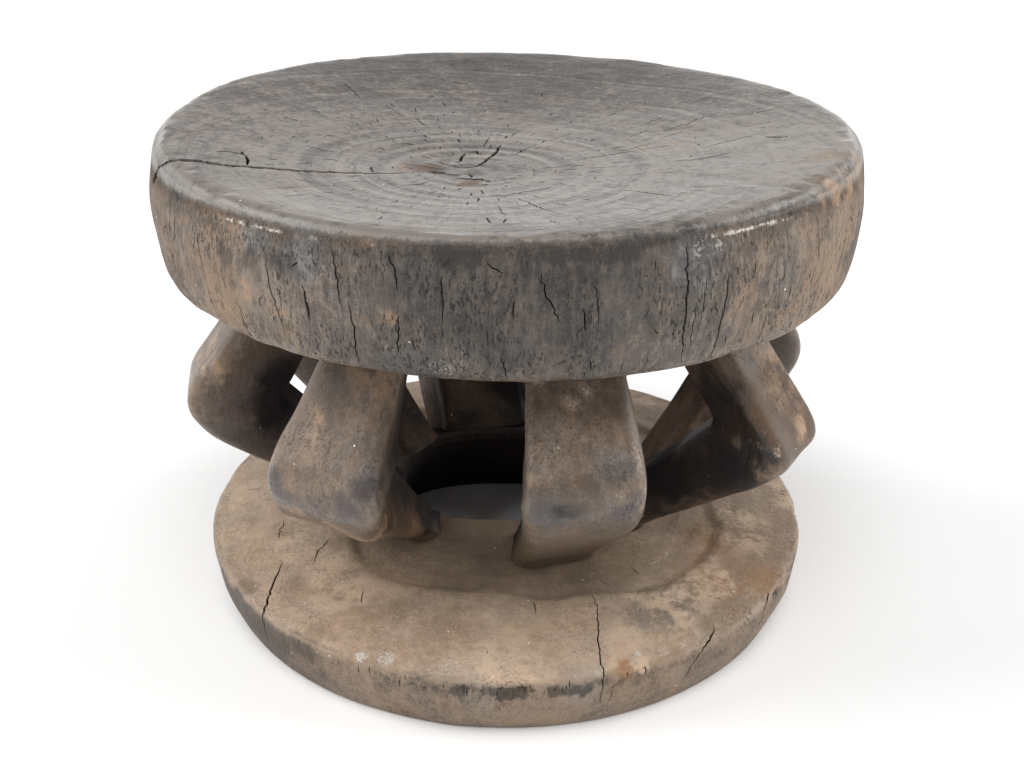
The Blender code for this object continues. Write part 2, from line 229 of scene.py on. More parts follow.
def patches(points, table):
    """For each kind, the sum of its ragged patches at each point."""
    wander = 0.6 * fractal(points, (75, 75, 75), 91, 3)
    sums = {}
    for kind in SURFACE_VALUES:
        sums[kind] = np.zeros(len(points))
        for x, y, z, size, amount in table.get(kind, ()):
            away = np.linalg.norm(points / MM - (x, y, z), axis=1) / size
            sums[kind] += amount * (1 - ease(away + wander, 0.5, 1.1))
    return sums


# Curves

def smooth_through(points, steps):
    """A Catmull-Rom curve through the points."""
    padded = [points[0]] + list(points) + [points[-1]]
    curve = []
    for index in range(1, len(padded) - 2):
        around_here = padded[index - 1:index + 3]
        for t in (step / steps for step in range(steps)):
            curve.append(tuple(
                0.5 * (2 * b + (c - a) * t
                       + (2 * a - 5 * b + 4 * c - d) * t * t
                       + (3 * b - a - 3 * c + d) * t ** 3)
                for a, b, c, d in zip(*around_here)))
    curve.append(tuple(points[-1]))
    return curve


def between(first, second, share):
    return tuple(a + (b - a) * share for a, b in zip(first, second))


def corner_curve(before, corner, after, reach, steps):
    """A corner rounded off from a reach before it to a reach after it."""
    start, end = (between(corner, target, min(reach / math.dist(corner, target), 0.5))
                  for target in (before, after))
    return [tuple((1 - t) ** 2 * s + 2 * t * (1 - t) * c + t * t * e
                  for s, c, e in zip(start, corner, end))
            for t in (step / steps for step in range(steps + 1))]


def waves(shares, angle):
    return sum(cosine * np.cos(order * angle) + sine * np.sin(order * angle)
               for order, cosine, sine in shares)


def around(radius, angle, *height):
    """Points at a radius and at an angle from the front, flat or at a height."""
    return np.stack(np.broadcast_arrays(radius * np.sin(angle), -radius * np.cos(angle),
                                        *height), 1)


def spoke(radius, angle):
    """One such point, flat."""
    return np.array([radius * math.sin(angle), -radius * math.cos(angle)])


class Profile:
    """An outline turned round the axis, laid out flat: the distance from the middle of
    the flat map is the distance travelled along the outline."""

    def __init__(self, points, start):
        points = np.array(points, float)
        steps = np.hypot(*np.diff(points, axis=0).T)
        self.s = start + np.concatenate([[0.0], np.cumsum(steps)])
        self.r, self.z = points[:, 0], points[:, 1]
        self.end = float(self.s[-1])
        tangent = np.gradient(points, self.s, axis=0)
        length = np.hypot(*tangent.T)
        self.nr, self.nz = -tangent[:, 1] / length, tangent[:, 0] / length

    def at(self, flat):
        """Distance along, angle, radius, height and outward direction of flat points."""
        s = np.hypot(flat[:, 0], flat[:, 1])
        angle = np.arctan2(flat[:, 0], -flat[:, 1])
        return (s, angle) + tuple(np.interp(s, self.s, row)
                                  for row in (self.r, self.z, self.nr, self.nz))


# Flat maps with cracks cut into them

def ring_angles(count):
    return np.arange(count) * TAU / count


def staggered_rings(radii, spacing):
    """Rings of points, every other ring turned by half a step."""
    points = []
    for number, radius in enumerate(radii):
        count = max(6, int(round(TAU * radius / spacing(radius))))
        angles = (np.arange(count) + 0.5 * (number % 2)) * TAU / count
        points.append(around(radius, angles))
    return np.concatenate(points)


def crack_line(points, rng, step=0.0022, jitter=0.0004):
    """A crack's middle line: the given points, joined by short, slightly uneven steps."""
    points = np.array(points, float)
    lengths = np.concatenate([[0], np.cumsum(np.hypot(*np.diff(points, axis=0).T))])
    count = max(2, int(round(lengths[-1] / step)))
    t = np.linspace(0, lengths[-1], count + 1)
    line = np.stack([np.interp(t, lengths, points[:, k]) for k in (0, 1)], 1)
    line[1:-1] += rng.normal(0, jitter, (count - 1, 2))
    return line


class FlatMap:
    """Points and constrained edges in the plane, triangulated once at the end."""

    def __init__(self):
        self.points, self.edges, self.depth, self.taken = [], [], [], []

    def add(self, points, depth):
        start = sum(len(p) for p in self.points)
        self.points.append(np.asarray(points, float))
        self.depth.append(np.broadcast_to(np.asarray(depth, float), (len(points),)))
        return start

    def boundary(self, points):
        """Points joined into a closed loop."""
        start, count = self.add(points, 0.0), len(points)
        self.edges += [(start + k, start + (k + 1) % count) for k in range(count)]

    def crack(self, line, width, depth, taper=0.6, open_end=False):
        """A groove along a line: width and depth at its widest, fading to its ends."""
        t = np.linspace(0, 1, len(line))
        swell = np.cos(0.5 * math.pi * t) if open_end else np.sin(math.pi * t)
        swell = swell[1:-1] ** taper
        along = np.gradient(line, axis=0)
        along /= np.maximum(np.hypot(*along.T), 1e-9)[:, None]
        side = np.stack([-along[:, 1], along[:, 0]], 1)[1:-1]
        half = 0.5 * width * swell[:, None] + 0.00008
        inner = line[1:-1]
        start = sum(len(p) for p in self.points)
        self.boundary(np.concatenate([line[:1], inner + side * half, line[-1:],
                                      (inner - side * half)[::-1]]))
        middle = self.add(inner, depth * swell + 0.0001)
        chain = [start] + [middle + k for k in range(len(inner))] + [start + len(inner) + 1]
        self.edges += list(zip(chain[:-1], chain[1:]))
        self.taken.append(line)

    def crack_if_clear(self, line, room, rng, widths, depths):
        """Cut a crack of a random width and depth unless another one is too near."""
        other = np.concatenate(self.taken)
        near = np.hypot(line[:, None, 0] - other[:, 0], line[:, None, 1] - other[:, 1])
        if near.min() <= room:
            return False
        self.crack(line, rng.uniform(*widths) * MM, rng.uniform(*depths) * MM)
        return True

    def scatter(self, draw, wanted, tries, *how):
        """Cut so many random cracks. draw() gives a line, or None to pass."""
        made = 0
        for _ in range(tries):
            line = draw()
            made += line is not None and self.crack_if_clear(line, *how)
            if made == wanted:
                return

    def triangulate(self, grid, room, inside):
        """Fill up with the grid's points that are clear of the cracks. Returns points,
        depth below the surface and triangles."""
        taken = np.concatenate(self.taken)
        held = {(x + dx, y + dy) for x, y in np.floor(taken / room).astype(int).tolist()
                for dx in (-1, 0, 1) for dy in (-1, 0, 1)}
        cells = map(tuple, np.floor(grid / room).astype(int).tolist())
        self.add(grid[[k for k, cell in enumerate(cells) if cell not in held
                       or np.hypot(*(taken - grid[k]).T).min() > room]], 0.0)
        points, depth = np.concatenate(self.points), np.concatenate(self.depth)
        coords, _, faces, origin, _, _ = delaunay_2d_cdt(
            [Vector(p) for p in points], self.edges, [], 0, 1e-7)
        flat = np.array([tuple(c) for c in coords])
        deep = np.array([max((depth[k] for k in ids), default=0.0002) for ids in origin])
        tris = np.array(faces, np.int64)
        return flat, deep, tris[inside(flat[tris].mean(1))]


# Objects

def numbered_loops(start, loops, count):
    """Vertex numbers of loops that follow one another."""
    return [start + k * count + np.arange(count) for k in range(loops)]


def loop_at(angle, mask):
    """Vertex numbers of the marked points, in order round the axis."""
    found = np.where(mask)[0]
    return found[np.argsort(angle[found] % TAU)]


def join_loops(loops):
    """Quads between each closed loop of vertex numbers and the next one."""
    faces = []
    for first, second in zip(loops[:-1], loops[1:]):
        faces += zip(first, np.roll(first, -1), np.roll(second, -1), second)
    return faces


def link(name, data):
    thing = bpy.data.objects.new(name, data)
    bpy.context.scene.collection.objects.link(thing)
    return thing


def new_piece(name, co, faces, material, node, slot, **values):
    """A visible piece for a node. values: what the material reads, each an array, or an
    array and the value for the points after its end."""
    mesh = bpy.data.meshes.new(name)
    mesh.from_pydata(np.asarray(co, float).tolist(), [],
                     [tuple(int(i) for i in face) for face in faces])
    mesh.validate()
    bm = bmesh.new()
    bm.from_mesh(mesh)
    bmesh.ops.recalc_face_normals(bm, faces=bm.faces)
    bm.to_mesh(mesh)
    bm.free()
    for key in SURFACE_VALUES:
        value = values.get(key, ((), 0.0))
        known, rest = value if isinstance(value, tuple) else (value, 0.0)
        full = np.concatenate([known, np.full(len(co) - len(known), rest)])
        attribute = mesh.attributes.new(key, "FLOAT", "POINT")
        attribute.data.foreach_set("value", full.astype(np.float32))
    mesh.shade_smooth()
    mesh.set_sharp_from_angle(angle=math.radians(SHARP_ANGLE))
    mesh.materials.append(material)
    piece = link(name, mesh)
    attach(piece, "root")
    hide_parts(node)


# Materials

class Wire:
    """A number that flows between nodes. Arithmetic on it adds Math nodes."""

    def __init__(self, nodes, socket):
        self.nodes, self.socket = nodes, socket

    def __add__(self, other):
        return self.nodes.math("ADD", self, other)

    def __radd__(self, other):
        return self.nodes.math("ADD", other, self)

    def __sub__(self, other):
        return self.nodes.math("SUBTRACT", self, other)

    def __rsub__(self, other):
        return self.nodes.math("SUBTRACT", other, self)

    def __mul__(self, other):
        return self.nodes.math("MULTIPLY", self, other)

    def __truediv__(self, other):
        return self.nodes.math("DIVIDE", self, other)


class Nodes:
    """Short hand for building a node tree."""

    def __init__(self, owner):
        owner.use_nodes = True
        self.tree = owner.node_tree
        self.made = self.tree.nodes

    def put(self, socket, value):
        if isinstance(value, Wire):
            value = value.socket
        if isinstance(value, bpy.types.NodeSocket):
            self.tree.links.new(value, socket)
        else:
            socket.default_value = value

    def node(self, kind, inputs=(), **settings):
        made = self.made.new(kind)
        for key, value in settings.items():
            setattr(made, key, value)
        for key, value in dict(inputs).items():
            self.put(made.inputs[key], value)
        return made

    def wire(self, kind, inputs=(), **settings):
        return Wire(self, self.node(kind, inputs, **settings).outputs[0])

    def math(self, operation, a, b=0.0, c=0.0, clamp=False):
        return self.wire("ShaderNodeMath", {0: a, 1: b, 2: c}, operation=operation,
                         use_clamp=clamp)

    def limited(self, a, b):
        """The product, kept from 0 to 1."""
        return self.math("MULTIPLY", a, b, clamp=True)

    def ramp(self, value, low, high, start=0.0, end=1.0):
        return self.wire("ShaderNodeMapRange",
                         {"Value": value, "From Min": low, "From Max": high,
                          "To Min": start, "To Max": end}, interpolation_type="SMOOTHSTEP")

    def mix(self, share, a, b, blend="MIX"):
        return self.node("ShaderNodeMix", {0: share, 6: a, 7: b}, data_type="RGBA",
                         blend_type=blend).outputs[2]

    def noise(self, vector, scale, detail=3.0, rough=0.55, distortion=0.0):
        return self.wire("ShaderNodeTexNoise",
                         {"Vector": vector, "Scale": scale, "Detail": detail,
                          "Roughness": rough, "Distortion": distortion})

    def scaled(self, vector, factors, offset=(0, 0, 0)):
        return self.node("ShaderNodeMapping", {"Vector": vector, "Scale": factors,
                                               "Location": offset}).outputs[0]

    def vector(self, *parts):
        return self.node("ShaderNodeCombineXYZ", dict(enumerate(parts))).outputs[0]

    def split(self, vector):
        return [Wire(self, part) for part
                in self.node("ShaderNodeSeparateXYZ", {0: vector}).outputs]

    def value(self, name):
        """What the mesh carries under a name."""
        made = self.node("ShaderNodeAttribute", attribute_name=name)
        return Wire(self, made.outputs["Fac"])


def colour(red, green, blue):
    return (red, green, blue, 1.0)


def wood_material(name, tones, streak, pits, look):
    """Aged wood. tones: dark, middle, light, tan. streak and pits: how fine the fibres
    and the pits are along x, y and z. look: strengths of its features, with "rings"
    only where growth rings show. Reads SURFACE_VALUES from the mesh."""
    material = bpy.data.materials.new(name)
    n = Nodes(material)
    shader = n.made["Principled BSDF"]
    place = n.node("ShaderNodeTexCoord").outputs["Object"]
    dark, middle, light, tan = tones

    def centred(value, amount):
        return (value - 0.5) * amount

    cloud = n.noise(place, 48.0, 6.0, 0.68, 0.15)
    mottle = n.noise(place, 170.0, 5.0, 0.75)
    fibre = n.noise(n.scaled(place, streak), 1.0, 5.0, 0.65)
    fine = n.noise(n.scaled(place, streak), 3.3, 4.0, 0.7)
    hue = n.noise(n.scaled(place, (1, 1, 1), (3.1, 1.7, 0.4)), 30.0, 4.0, 0.65, 0.15)
    # The level takes in the tone, which carries painted light and shade besides the wood's own
    # lighter and darker places
    level = (0.5 + centred(n.noise(place, 12.0, 4.0, 0.6, 0.4), 0.5)
             + centred(cloud, look["cloud"]) + centred(mottle, look["mottle"])
             + centred(fibre, look["fibre"]) + centred(fine, look["fibre"] * 0.6)
             + centred(n.noise(place, 850.0, 2.0, 0.6), 0.45)
             + n.math("MINIMUM", n.value("tone"), 1.3) * 0.30)

    # The relief is smoother than the colours, so that worn wood keeps its sheen
    worn = 1.0 - n.value("top") * 0.8
    strands = n.noise(n.scaled(place, streak), 1.3, 2.0, 0.5)
    pores = n.noise(place, 420.0, 2.0, 0.5)
    height = (centred(n.noise(place, 60.0, 2.0, 0.45), 0.8)
              + (centred(strands, 0.6) + centred(pores, look["pores"])) * worn)

    if "rings" in look:
        x, y, _ = n.split(place)
        x, y = x - PITH[0], y - PITH[1]
        radius = n.math("SQRT", x * x + y * y)
        line = n.vector(radius + n.noise(place, 16.0, 2.0, 0.5) * 0.016)
        near_pith = radius + 0.002
        spokes = n.noise(n.vector(x / near_pith * 34.0, y / near_pith * 34.0, radius * 16.0),
                         1.0, 5.0, 0.75)
        uneven = n.ramp(n.noise(place, 9.0, 2.0, 0.5), 0.35, 0.62, 0.35, 1.2)
        ring_level = ((centred(n.noise(line, 105.0, 2.0, 0.55), 1.5)
                       + centred(n.noise(line, 430.0, 3.0, 0.7), 0.8)) * uneven
                      + centred(spokes, 0.85))
        ring_level = ring_level * n.ramp(radius, 0.06, 0.15, 1.15, 0.45) * n.value("top")
        level = level + ring_level * look["rings"]
        height = height + n.noise(line, 260.0, 1.0, 0.4) * n.value("top") * 0.30

    # Flecks of paler wood and pits that have drawn out along the fibres
    fleck = n.ramp(n.noise(n.scaled(place, (1, 1, 0.6)), 330.0, 3.0, 0.6), 0.60, 0.72)
    where = n.limited(n.ramp(n.noise(place, 34.0, 3.0, 0.6), 0.42, 0.60), n.value("pitted"))
    pit = n.ramp(n.noise(n.scaled(place, pits), 1.0, 3.0, 0.6, 0.4), 0.57, 0.63) * where

    shade = n.mix(n.ramp(level, 0.50, 0.95),
                  n.mix(n.ramp(level, 0.08, 0.50), dark, middle), light)
    brown = n.limited(n.ramp(hue, 0.36, 0.66, 0.4, 1.0), n.value("umber"))
    shade = n.mix(brown, shade, UMBER_TINT, "MULTIPLY")
    shade = n.mix(n.limited(n.value("umber"), -1.0), shade, SMOKE_TINT, "MULTIPLY")
    shade = n.mix(fleck * look["fleck"], shade, tan)
    ragged = n.noise(place, 70.0, 6.0, 0.75, 0.15) + centred(fibre, 0.3)
    shade = n.mix(n.limited(n.value("warm"), n.ramp(ragged, 0.38, 0.60)), shade, tan)
    # Pale scuffs of wear, and the painted highlight streaks on the seat's lip, take the same
    # pale colour
    grazed = n.noise(n.scaled(place, (1.5, 1.5, 0.8)), 430.0, 4.0, 0.7)
    grazed = n.ramp(grazed + n.value("scuff") * 0.20, 0.60, 0.72)
    shade = n.mix(n.limited(grazed, n.value("scuff")), shade, SCUFF_AND_HIGHLIGHT_COLOUR)
    shade = n.mix(pit * 0.80, shade, PIT_COLOUR)
    shade = n.mix(n.ramp(n.value("crack"), 0.0, 0.40) * 0.97, shade, CRACK_COLOUR)
    # Sparse pale specks
    specks = n.node("ShaderNodeTexVoronoi",
                  {"Vector": place, "Scale": 150.0, "Randomness": 1.0}).outputs
    speck = n.math("LESS_THAN", specks["Distance"], 0.09)
    chosen = n.math("GREATER_THAN", n.wire("ShaderNodeSeparateColor", {0: specks["Color"]}),
                    look["specks"])
    shade = n.mix(speck * chosen, shade, SPECK_COLOUR)
    # Painted shade: places out of the light are darkened towards near black
    shade = n.mix(n.limited(n.value("shut"), 0.94), shade, PAINTED_SHADE_COLOUR)
    n.put(shader.inputs["Base Color"], shade)

    rough = (look["rough"] + (centred(cloud, 0.35) + centred(mottle, 0.25)) * worn
             + n.value("gloss") * -look["polish"] + pit * 0.3 + n.value("shut") * 0.5)
    rough = n.math("MAXIMUM", n.math("MINIMUM", rough, ROUGHEST), SMOOTHEST)
    n.put(shader.inputs["Roughness"], rough)
    shader.inputs["Specular IOR Level"].default_value = look["specular"]
    shader.inputs["Metallic"].default_value = 0.0
    relief = n.node("ShaderNodeBump", {"Height": height + pit * -1.1,
                                       "Distance": look["bump"], "Strength": 1.0})
    n.put(shader.inputs["Normal"], relief.outputs[0])
    return material


# The seat

def seat_height(radius):
    share = np.clip(radius / SEAT_RIM_RADIUS, 0, 1)
    return SEAT_TOP - SEAT_DISH_DEPTH * (1 - share ** 2) ** SEAT_DISH_POWER


# Cracks on the flat map of the seat, in mm: the points, width and depth, and True where
# one is open at its start
SEAT_CRACKS = (
    (((-208, -77), (-201, -80), (-192, -83), (-181, -85), (-167, -84.5), (-153.7, -87),
    (-139, -85.5), (-123, -85), (-107, -83), (-91, -80), (-73, -76), (-60, -72.6),
    (-52, -68.5)), 3.3, 9.0, True), (((-149.3, -57), (-144.1, -69), (-141.5, -83)), 1.3, 3.5),
    (((-163, -63), (-153, -61), (-146, -64)), 0.9, 2.0), (((-77, -62), (-74.5, -74)), 0.7, 1.5),
    (((-4.4, -3), (-5.4, -12), (-8, -22.5), (-12.5, -36), (-16.5, -48), (-21, -52.3),
    (-25, -53.4), (-29.5, -51.8), (-35, -48.6), (-42, -42.5)), 1.5, 3.6), (((-45, -65.5),
    (-36.5, -67), (-30.5, -71), (-25.5, -68)), 2.4, 4.0), (((-22.5, -66.5), (-20.5, -70.5),
    (-20.9, -75.3)), 1.1, 2.5), (((-29.6, -44), (-27.7, -37.4), (-26.2, -28.4),
    (-25.3, -23.2)), 1.1, 2.6), (((-23, -20.8), (-19.3, -19.8), (-16.4, -24.8),
    (-14.9, -21.8)), 1.6, 2.6), (((-27.5, -77), (-21.3, -78.9), (-14.8, -78.2), (-11.2, -82.2),
    (-8.4, -84.6), (-5.4, -81.3), (-1.5, -77.2), (7, -74.8)), 1.9, 3.4), (((-28, -92.3),
    (-23.8, -94.3)), 1.4, 2.2), (((-15, -89.8), (-9.6, -89.3)), 1.6, 2.2), (((-5, -26),
    (-1, -26.5)), 0.9, 1.6), (((3.5, -26.7), (7.8, -17.3), (17, -5.1)), 0.7, 1.8), (((-52, 8.2),
    (-47, 1.9)), 1.0, 2.0), (((-31.1, 4.6), (-28.3, -4.5)), 0.8, 2.0), (((-64.5, -13),
    (-58.7, -10.2), (-55.2, -12.8)), 1.1, 2.0), (((-57, -97.9), (-46.7, -92.9),
    (-43.2, -85.6)), 0.9, 2.0), (((-27.8, -101), (-25, -102.5)), 1.8, 2.5), (((-10.3, -115.2),
    (-0.5, -113.4), (10.3, -106.4), (23.5, -97.9)), 0.8, 2.2), (((4, -121), (10, -129.7),
    (13, -136.7), (18.4, -147.1), (25, -155)), 0.6, 1.6), (((110, -35), (130, -24.5),
    (149, -15)), 0.7, 1.8), (((92, -58.5), (106, -59), (125, -52)), 0.7, 1.8), (((40, -41),
    (77, -27), (96, -22)), 0.6, 1.6), (((57, -109), (73, -122), (84, -131)), 0.8, 2.0),
    (((94, 12), (113, 24), (124, 36)), 0.7, 1.6), (((150, -23), (158, -29),
    (163, -28)), 1.6, 2.5), (((-87, -193), (-89, -208), (-94, -225)), 1.0, 2.6), (((-87, -221),
    (-91, -236), (-100, -258)), 1.2, 3.0), (((-127, -184), (-135, -200),
    (-141, -221)), 1.1, 2.6), (((-169, -191), (-176, -203), (-182, -214)), 1.1, 2.6),
    (((-112, -205), (-116, -216), (-119, -226)), 2.0, 3.0), (((-33, -217), (-33.6, -228),
    (-36, -243)), 0.8, 2.0), (((-60, -234), (-64, -245), (-68, -256)), 1.0, 2.4), (((-58, -202),
    (-56.4, -212), (-57.5, -223)), 0.8, 2.0), (((-189, -121), (-201, -128)), 1.6, 2.6),
    (((86, -192), (91.5, -207), (98, -220), (106, -236), (116, -252)), 1.2, 4.0), (((115, -197),
    (120.4, -207), (128, -222), (133, -234), (137, -243)), 1.1, 3.2), (((196, -164),
    (204, -172), (214, -181)), 1.2, 2.6), (((16, -217), (18.7, -226), (29, -243)), 0.8, 1.8),
)

# How far past the rim the pale top reaches, in mm, by angle from the front in degrees
SEAT_PALE_REACH = ((0, 2.0), (16, 2.8), (24, 4.2), (35, 5.6), (45, 6.6), (53, 9.0), (66, 12.0),
                   (80, 12.5), (110, 8.0), (180, 6.0))

# Highlights painted as pale streaks on the lip: strength, and the degrees between which
# each one fades in and out
SEAT_HIGHLIGHTS = ((0.9, -47, -42, -29, -24), (1.0, 24, 29, 40, 46), (0.4, -22, -20, -18, -15))

# Patches of wear and stain, and of painted light and shade, by what they change, each a
# place in mm, a size and an amount
SEAT_PATCHES = {
    "warm": (
        (77, -195, 267, 6, 0.5), (113, -177, 262, 9, 0.5), (53, -201, 243, 5, 0.4),
        (-58, -201, 261, 6, 0.6), (-70, -197, 256, 5, 0.4), (-130, -163, 261, 8, 0.9),
        (-121, -170, 258, 7, 0.7), (-113, -175, 255, 6, 0.6), (168, -122, 294, 9, 1.0),
        (178, -106, 296, 9, 1.0), (158, -135, 294, 7, 0.8), (165, -120, 262, 24, 0.25),
        (-149, -145, 252, 14, 0.4), (-147, -144, 238, 12, 0.3), (-47, -59, 291, 8, 0.25),
        (-20, -87, 291, 6, 0.3), (84, -26, 294, 12, 0.3), (100, -18, 294, 12, 0.3),
        (192, -80, 285, 16, 0.5),),
    "tone": (
        (-149, -145, 252, 20, 0.9), (-147, -144, 238, 18, 0.8), (-142, -153, 276, 8, -1.4),
        (-127, -166, 279, 7, -1.4), (-111, -175, 281, 8, -1.2), (-141, -154, 261, 6, -1.0),
        (-86, -186, 291, 8, -0.7), (164, -130, 253, 26, 0.7), (147, -150, 282, 14, 0.5),
        (153, -140, 240, 20, 0.7), (177, -108, 278, 26, 0.7), (0, -210, 270, 34, -0.3),
        (8, -208, 246, 26, -0.3), (-31, -201, 294, 8, -1.2), (-18, -203, 293, 7, -1.1),
        (40, -204, 262, 26, -0.25), (-27, -205, 240, 10, 0.6), (-75, -195, 262, 26, 0.35),
        (-52, -56, 291, 8, -1.1), (-41, -63.5, 291, 8, -1.7), (-20, -87, 291, 6, -1.2),
        (-20, -62, 291, 6, -1.4), (-20, -9, 289, 13, -0.6), (3, -14, 289, 9, -0.5),
        (60, -200, 255, 22, 0.35), (188, -92, 262, 34, -0.5),),
    "umber": (
        (-149, -145, 245, 24, 0.7), (165, -128, 262, 40, 0.6), (91, -187, 288, 16, -1.2),
        (-99, -181, 287, 16, -1.2), (-124, -165, 289, 9, -1.0), (-51, -57, 291, 12, 2.4),
        (-41, -63, 291, 10, 2.0), (-20, -87, 291, 8, 2.0), (-20, -62, 291, 7, 1.4),
        (190, -85, 270, 44, 1.2),),
    "gloss": (
        (91, -187, 288, 14, 0.9), (-44, -62, 291, 10, -0.6), (-20, -87, 291, 6, -0.6),),
    "scuff": (
        (91, -187, 291, 5, 0.5), (100, -182, 290.5, 6, 0.55), (-33, -203, 236, 12, 0.5),
        (-165, -125, 240, 22, 0.35),),
}


def build_seat(material):
    rim = SEAT_RIM_RADIUS
    dish = [(r, float(seat_height(r))) for r in np.linspace(0, SEAT_LIP_START, 80)]
    outline = smooth_through((dish[-1],) + SEAT_LIP + SEAT_OUTLINE, 14)
    profile = Profile(dish + outline[1:], 0.0)
    rng = np.random.default_rng(SEAT_SEED)
    flat = FlatMap()
    flat.boundary(around(profile.end, ring_angles(SEAT_EDGE_POINTS)))
    for points, width, depth, *open_end in SEAT_CRACKS:
        line = crack_line(np.array(points) * MM, rng)
        on_dish = np.hypot(*line.mean(0)) < 0.190
        flat.crack(line, width * (1.5 if on_dish else 0.9) * MM, depth * MM,
                   taper=0.35 if on_dish and not open_end else 0.6, open_end=bool(open_end))

    def drying_check():
        """Short, mostly along a radius from the pith, thickest round it."""
        angle = rng.uniform(0, TAU)
        start = np.array(PITH) + spoke(0.012 + 0.19 * rng.beta(1.2, 2.0), angle)
        if np.hypot(*start) > 0.180:
            return None
        length = rng.uniform(0.003, 0.010) * (1.0 + 2.2 * (rng.random() < 0.15))
        turn = angle + rng.normal(0, 0.16)
        if rng.random() < 0.22:
            turn += math.pi / 2
            length *= 0.7
        end = start + spoke(length, turn)
        return crack_line([start, end], rng, 0.0018) if np.hypot(*end) <= 0.185 else None

    def upright_check():
        """Short, down the side."""
        angle = rng.uniform(0, TAU)
        start = rim + rng.uniform(0.012, 0.070)
        length = rng.uniform(0.003, 0.010) * (1.0 + 2.2 * (rng.random() < 0.2))
        end = min(start + length, profile.end - 0.012)
        if end - start < 0.0035:
            return None
        lean = rng.normal(0, 0.012)
        return crack_line([spoke(start, angle), spoke(end, angle + lean)], rng, 0.002)

    flat.scatter(drying_check, 250, 5000, 0.0024, rng, (0.35, 1.1), (0.8, 2.0))
    flat.scatter(upright_check, 130, 4000, 0.003, rng, (0.3, 0.8), (0.7, 1.6))
    radii = np.concatenate([np.arange(0.0028, rim - 0.004, 0.0028),
                            np.arange(rim - 0.004, rim + 0.020, 0.0013),
                            np.arange(rim + 0.020, profile.end - 0.0018, 0.0019)])
    grid = staggered_rings(radii, lambda r: 0.0028 if r < 0.195 else 0.0022 * r / 0.21)
    points, deep, tris = flat.triangulate(
        grid, CRACK_ROOM, lambda m: np.hypot(m[:, 0], m[:, 1]) < profile.end)

    # Shape of the top and the side
    s, angle, r, z, nr, nz = profile.at(points)
    flat_place, place = around(s, angle, 0.0), around(r, angle, z)
    uneven = np.where(s < rim, r / rim, np.clip((z - SEAT_UNDERSIDE) / SEAT_THICKNESS, 0, 1))
    top = 1 - ease(s, rim - 0.004, rim + 0.006)
    side = ease(s, rim + 0.002, rim + 0.014)
    lip = bell(s - rim, 0.002, 0.007)
    from_pith = np.hypot(points[:, 0] - PITH[0], points[:, 1] - PITH[1])
    rings = np.sin(TAU * from_pith / 0.0125 + 2.6 * noise(flat_place, 13, 5))
    relief = (0.00045 * top * fractal(flat_place, 24, 3)
              + 0.00016 * top * rings * np.clip(1.25 - from_pith / 0.14, 0.12, 1)
              + side * 0.0008 * fractal(place, (26, 26, 14), 7)
              + side * 0.0006 * noise(place, (70, 70, 22), 9)
              + lip * 0.0007 * fractal(place, (34, 34, 60), 12, 3)
              - 0.0007 * lip * ease(noise(place, (90, 90, 160), 15), 0.25, 0.75))
    relief = relief * (1 - ease(s, profile.end - 0.006, profile.end)) - deep
    stretch = 1 + waves(SEAT_OUTLINE_WAVES, angle) * np.clip(r / SEAT_RADIUS, 0, 1)
    co = around(r * stretch + nr * relief, angle,
                z + SEAT_RADIUS * waves(SEAT_HEIGHT_WAVES, angle) * uneven + nz * relief)

    # Underside: rings in from the edge of the flat map
    edge = loop_at(angle, np.abs(s - profile.end) < 1e-5)
    assert len(edge) == SEAT_EDGE_POINTS
    under = []
    for share in SEAT_UNDERSIDE_RINGS:
        ring = around(SEAT_UNDERSIDE_RADIUS * share, angle[edge], SEAT_UNDERSIDE)
        ring[:, 2] += 0.0005 * fractal(ring, (30, 30, 1), 21) * min(1, (1 - share) * 8)
        under.append(ring)
    loops = [edge] + numbered_loops(len(co), len(under), SEAT_EDGE_POINTS)
    co = np.concatenate([co] + under + [np.array([[0, 0, SEAT_UNDERSIDE]])])
    faces = [tuple(t) for t in tris] + join_loops(loops)
    faces += [(a, b, len(co) - 1) for a, b in zip(loops[-1], np.roll(loops[-1], -1))]

    # Colour: the pale top ends past the rim in a darker band, then the smoky side
    off, turn = np.abs(angle), np.degrees(angle)
    reach = np.array(SEAT_PALE_REACH, float)
    past = (s - rim - np.interp(np.abs(turn), reach[:, 0], reach[:, 1]) * MM
            - 0.0011 * fractal(place, (60, 60, 60), 37, 3))
    pale = 1 - ease(past, -0.0016, 0.0022)
    flank = ease(past, 0.0, 0.008)
    band = bell(past, 0.0040, 0.0030)
    stain = bell(past, 0.0098, 0.0032) * ease(fractal(place, (22, 22, 22), 35), -0.25, 0.25)
    # Painted highlights: pale streaks along the lip, where the lamps would glint
    lit = sum(amount * ease(turn, a, b) * (1 - ease(turn, c, d))
              for amount, a, b, c, d in SEAT_HIGHLIGHTS)
    streak = (bell(past - 0.0050 - 0.0006 * noise(place, (50, 50, 50), 39), 0, 0.0011)
              * lit * ease(noise(place, (260, 260, 260), 38), -0.55, 0.1))
    patch = patches(place, SEAT_PATCHES)
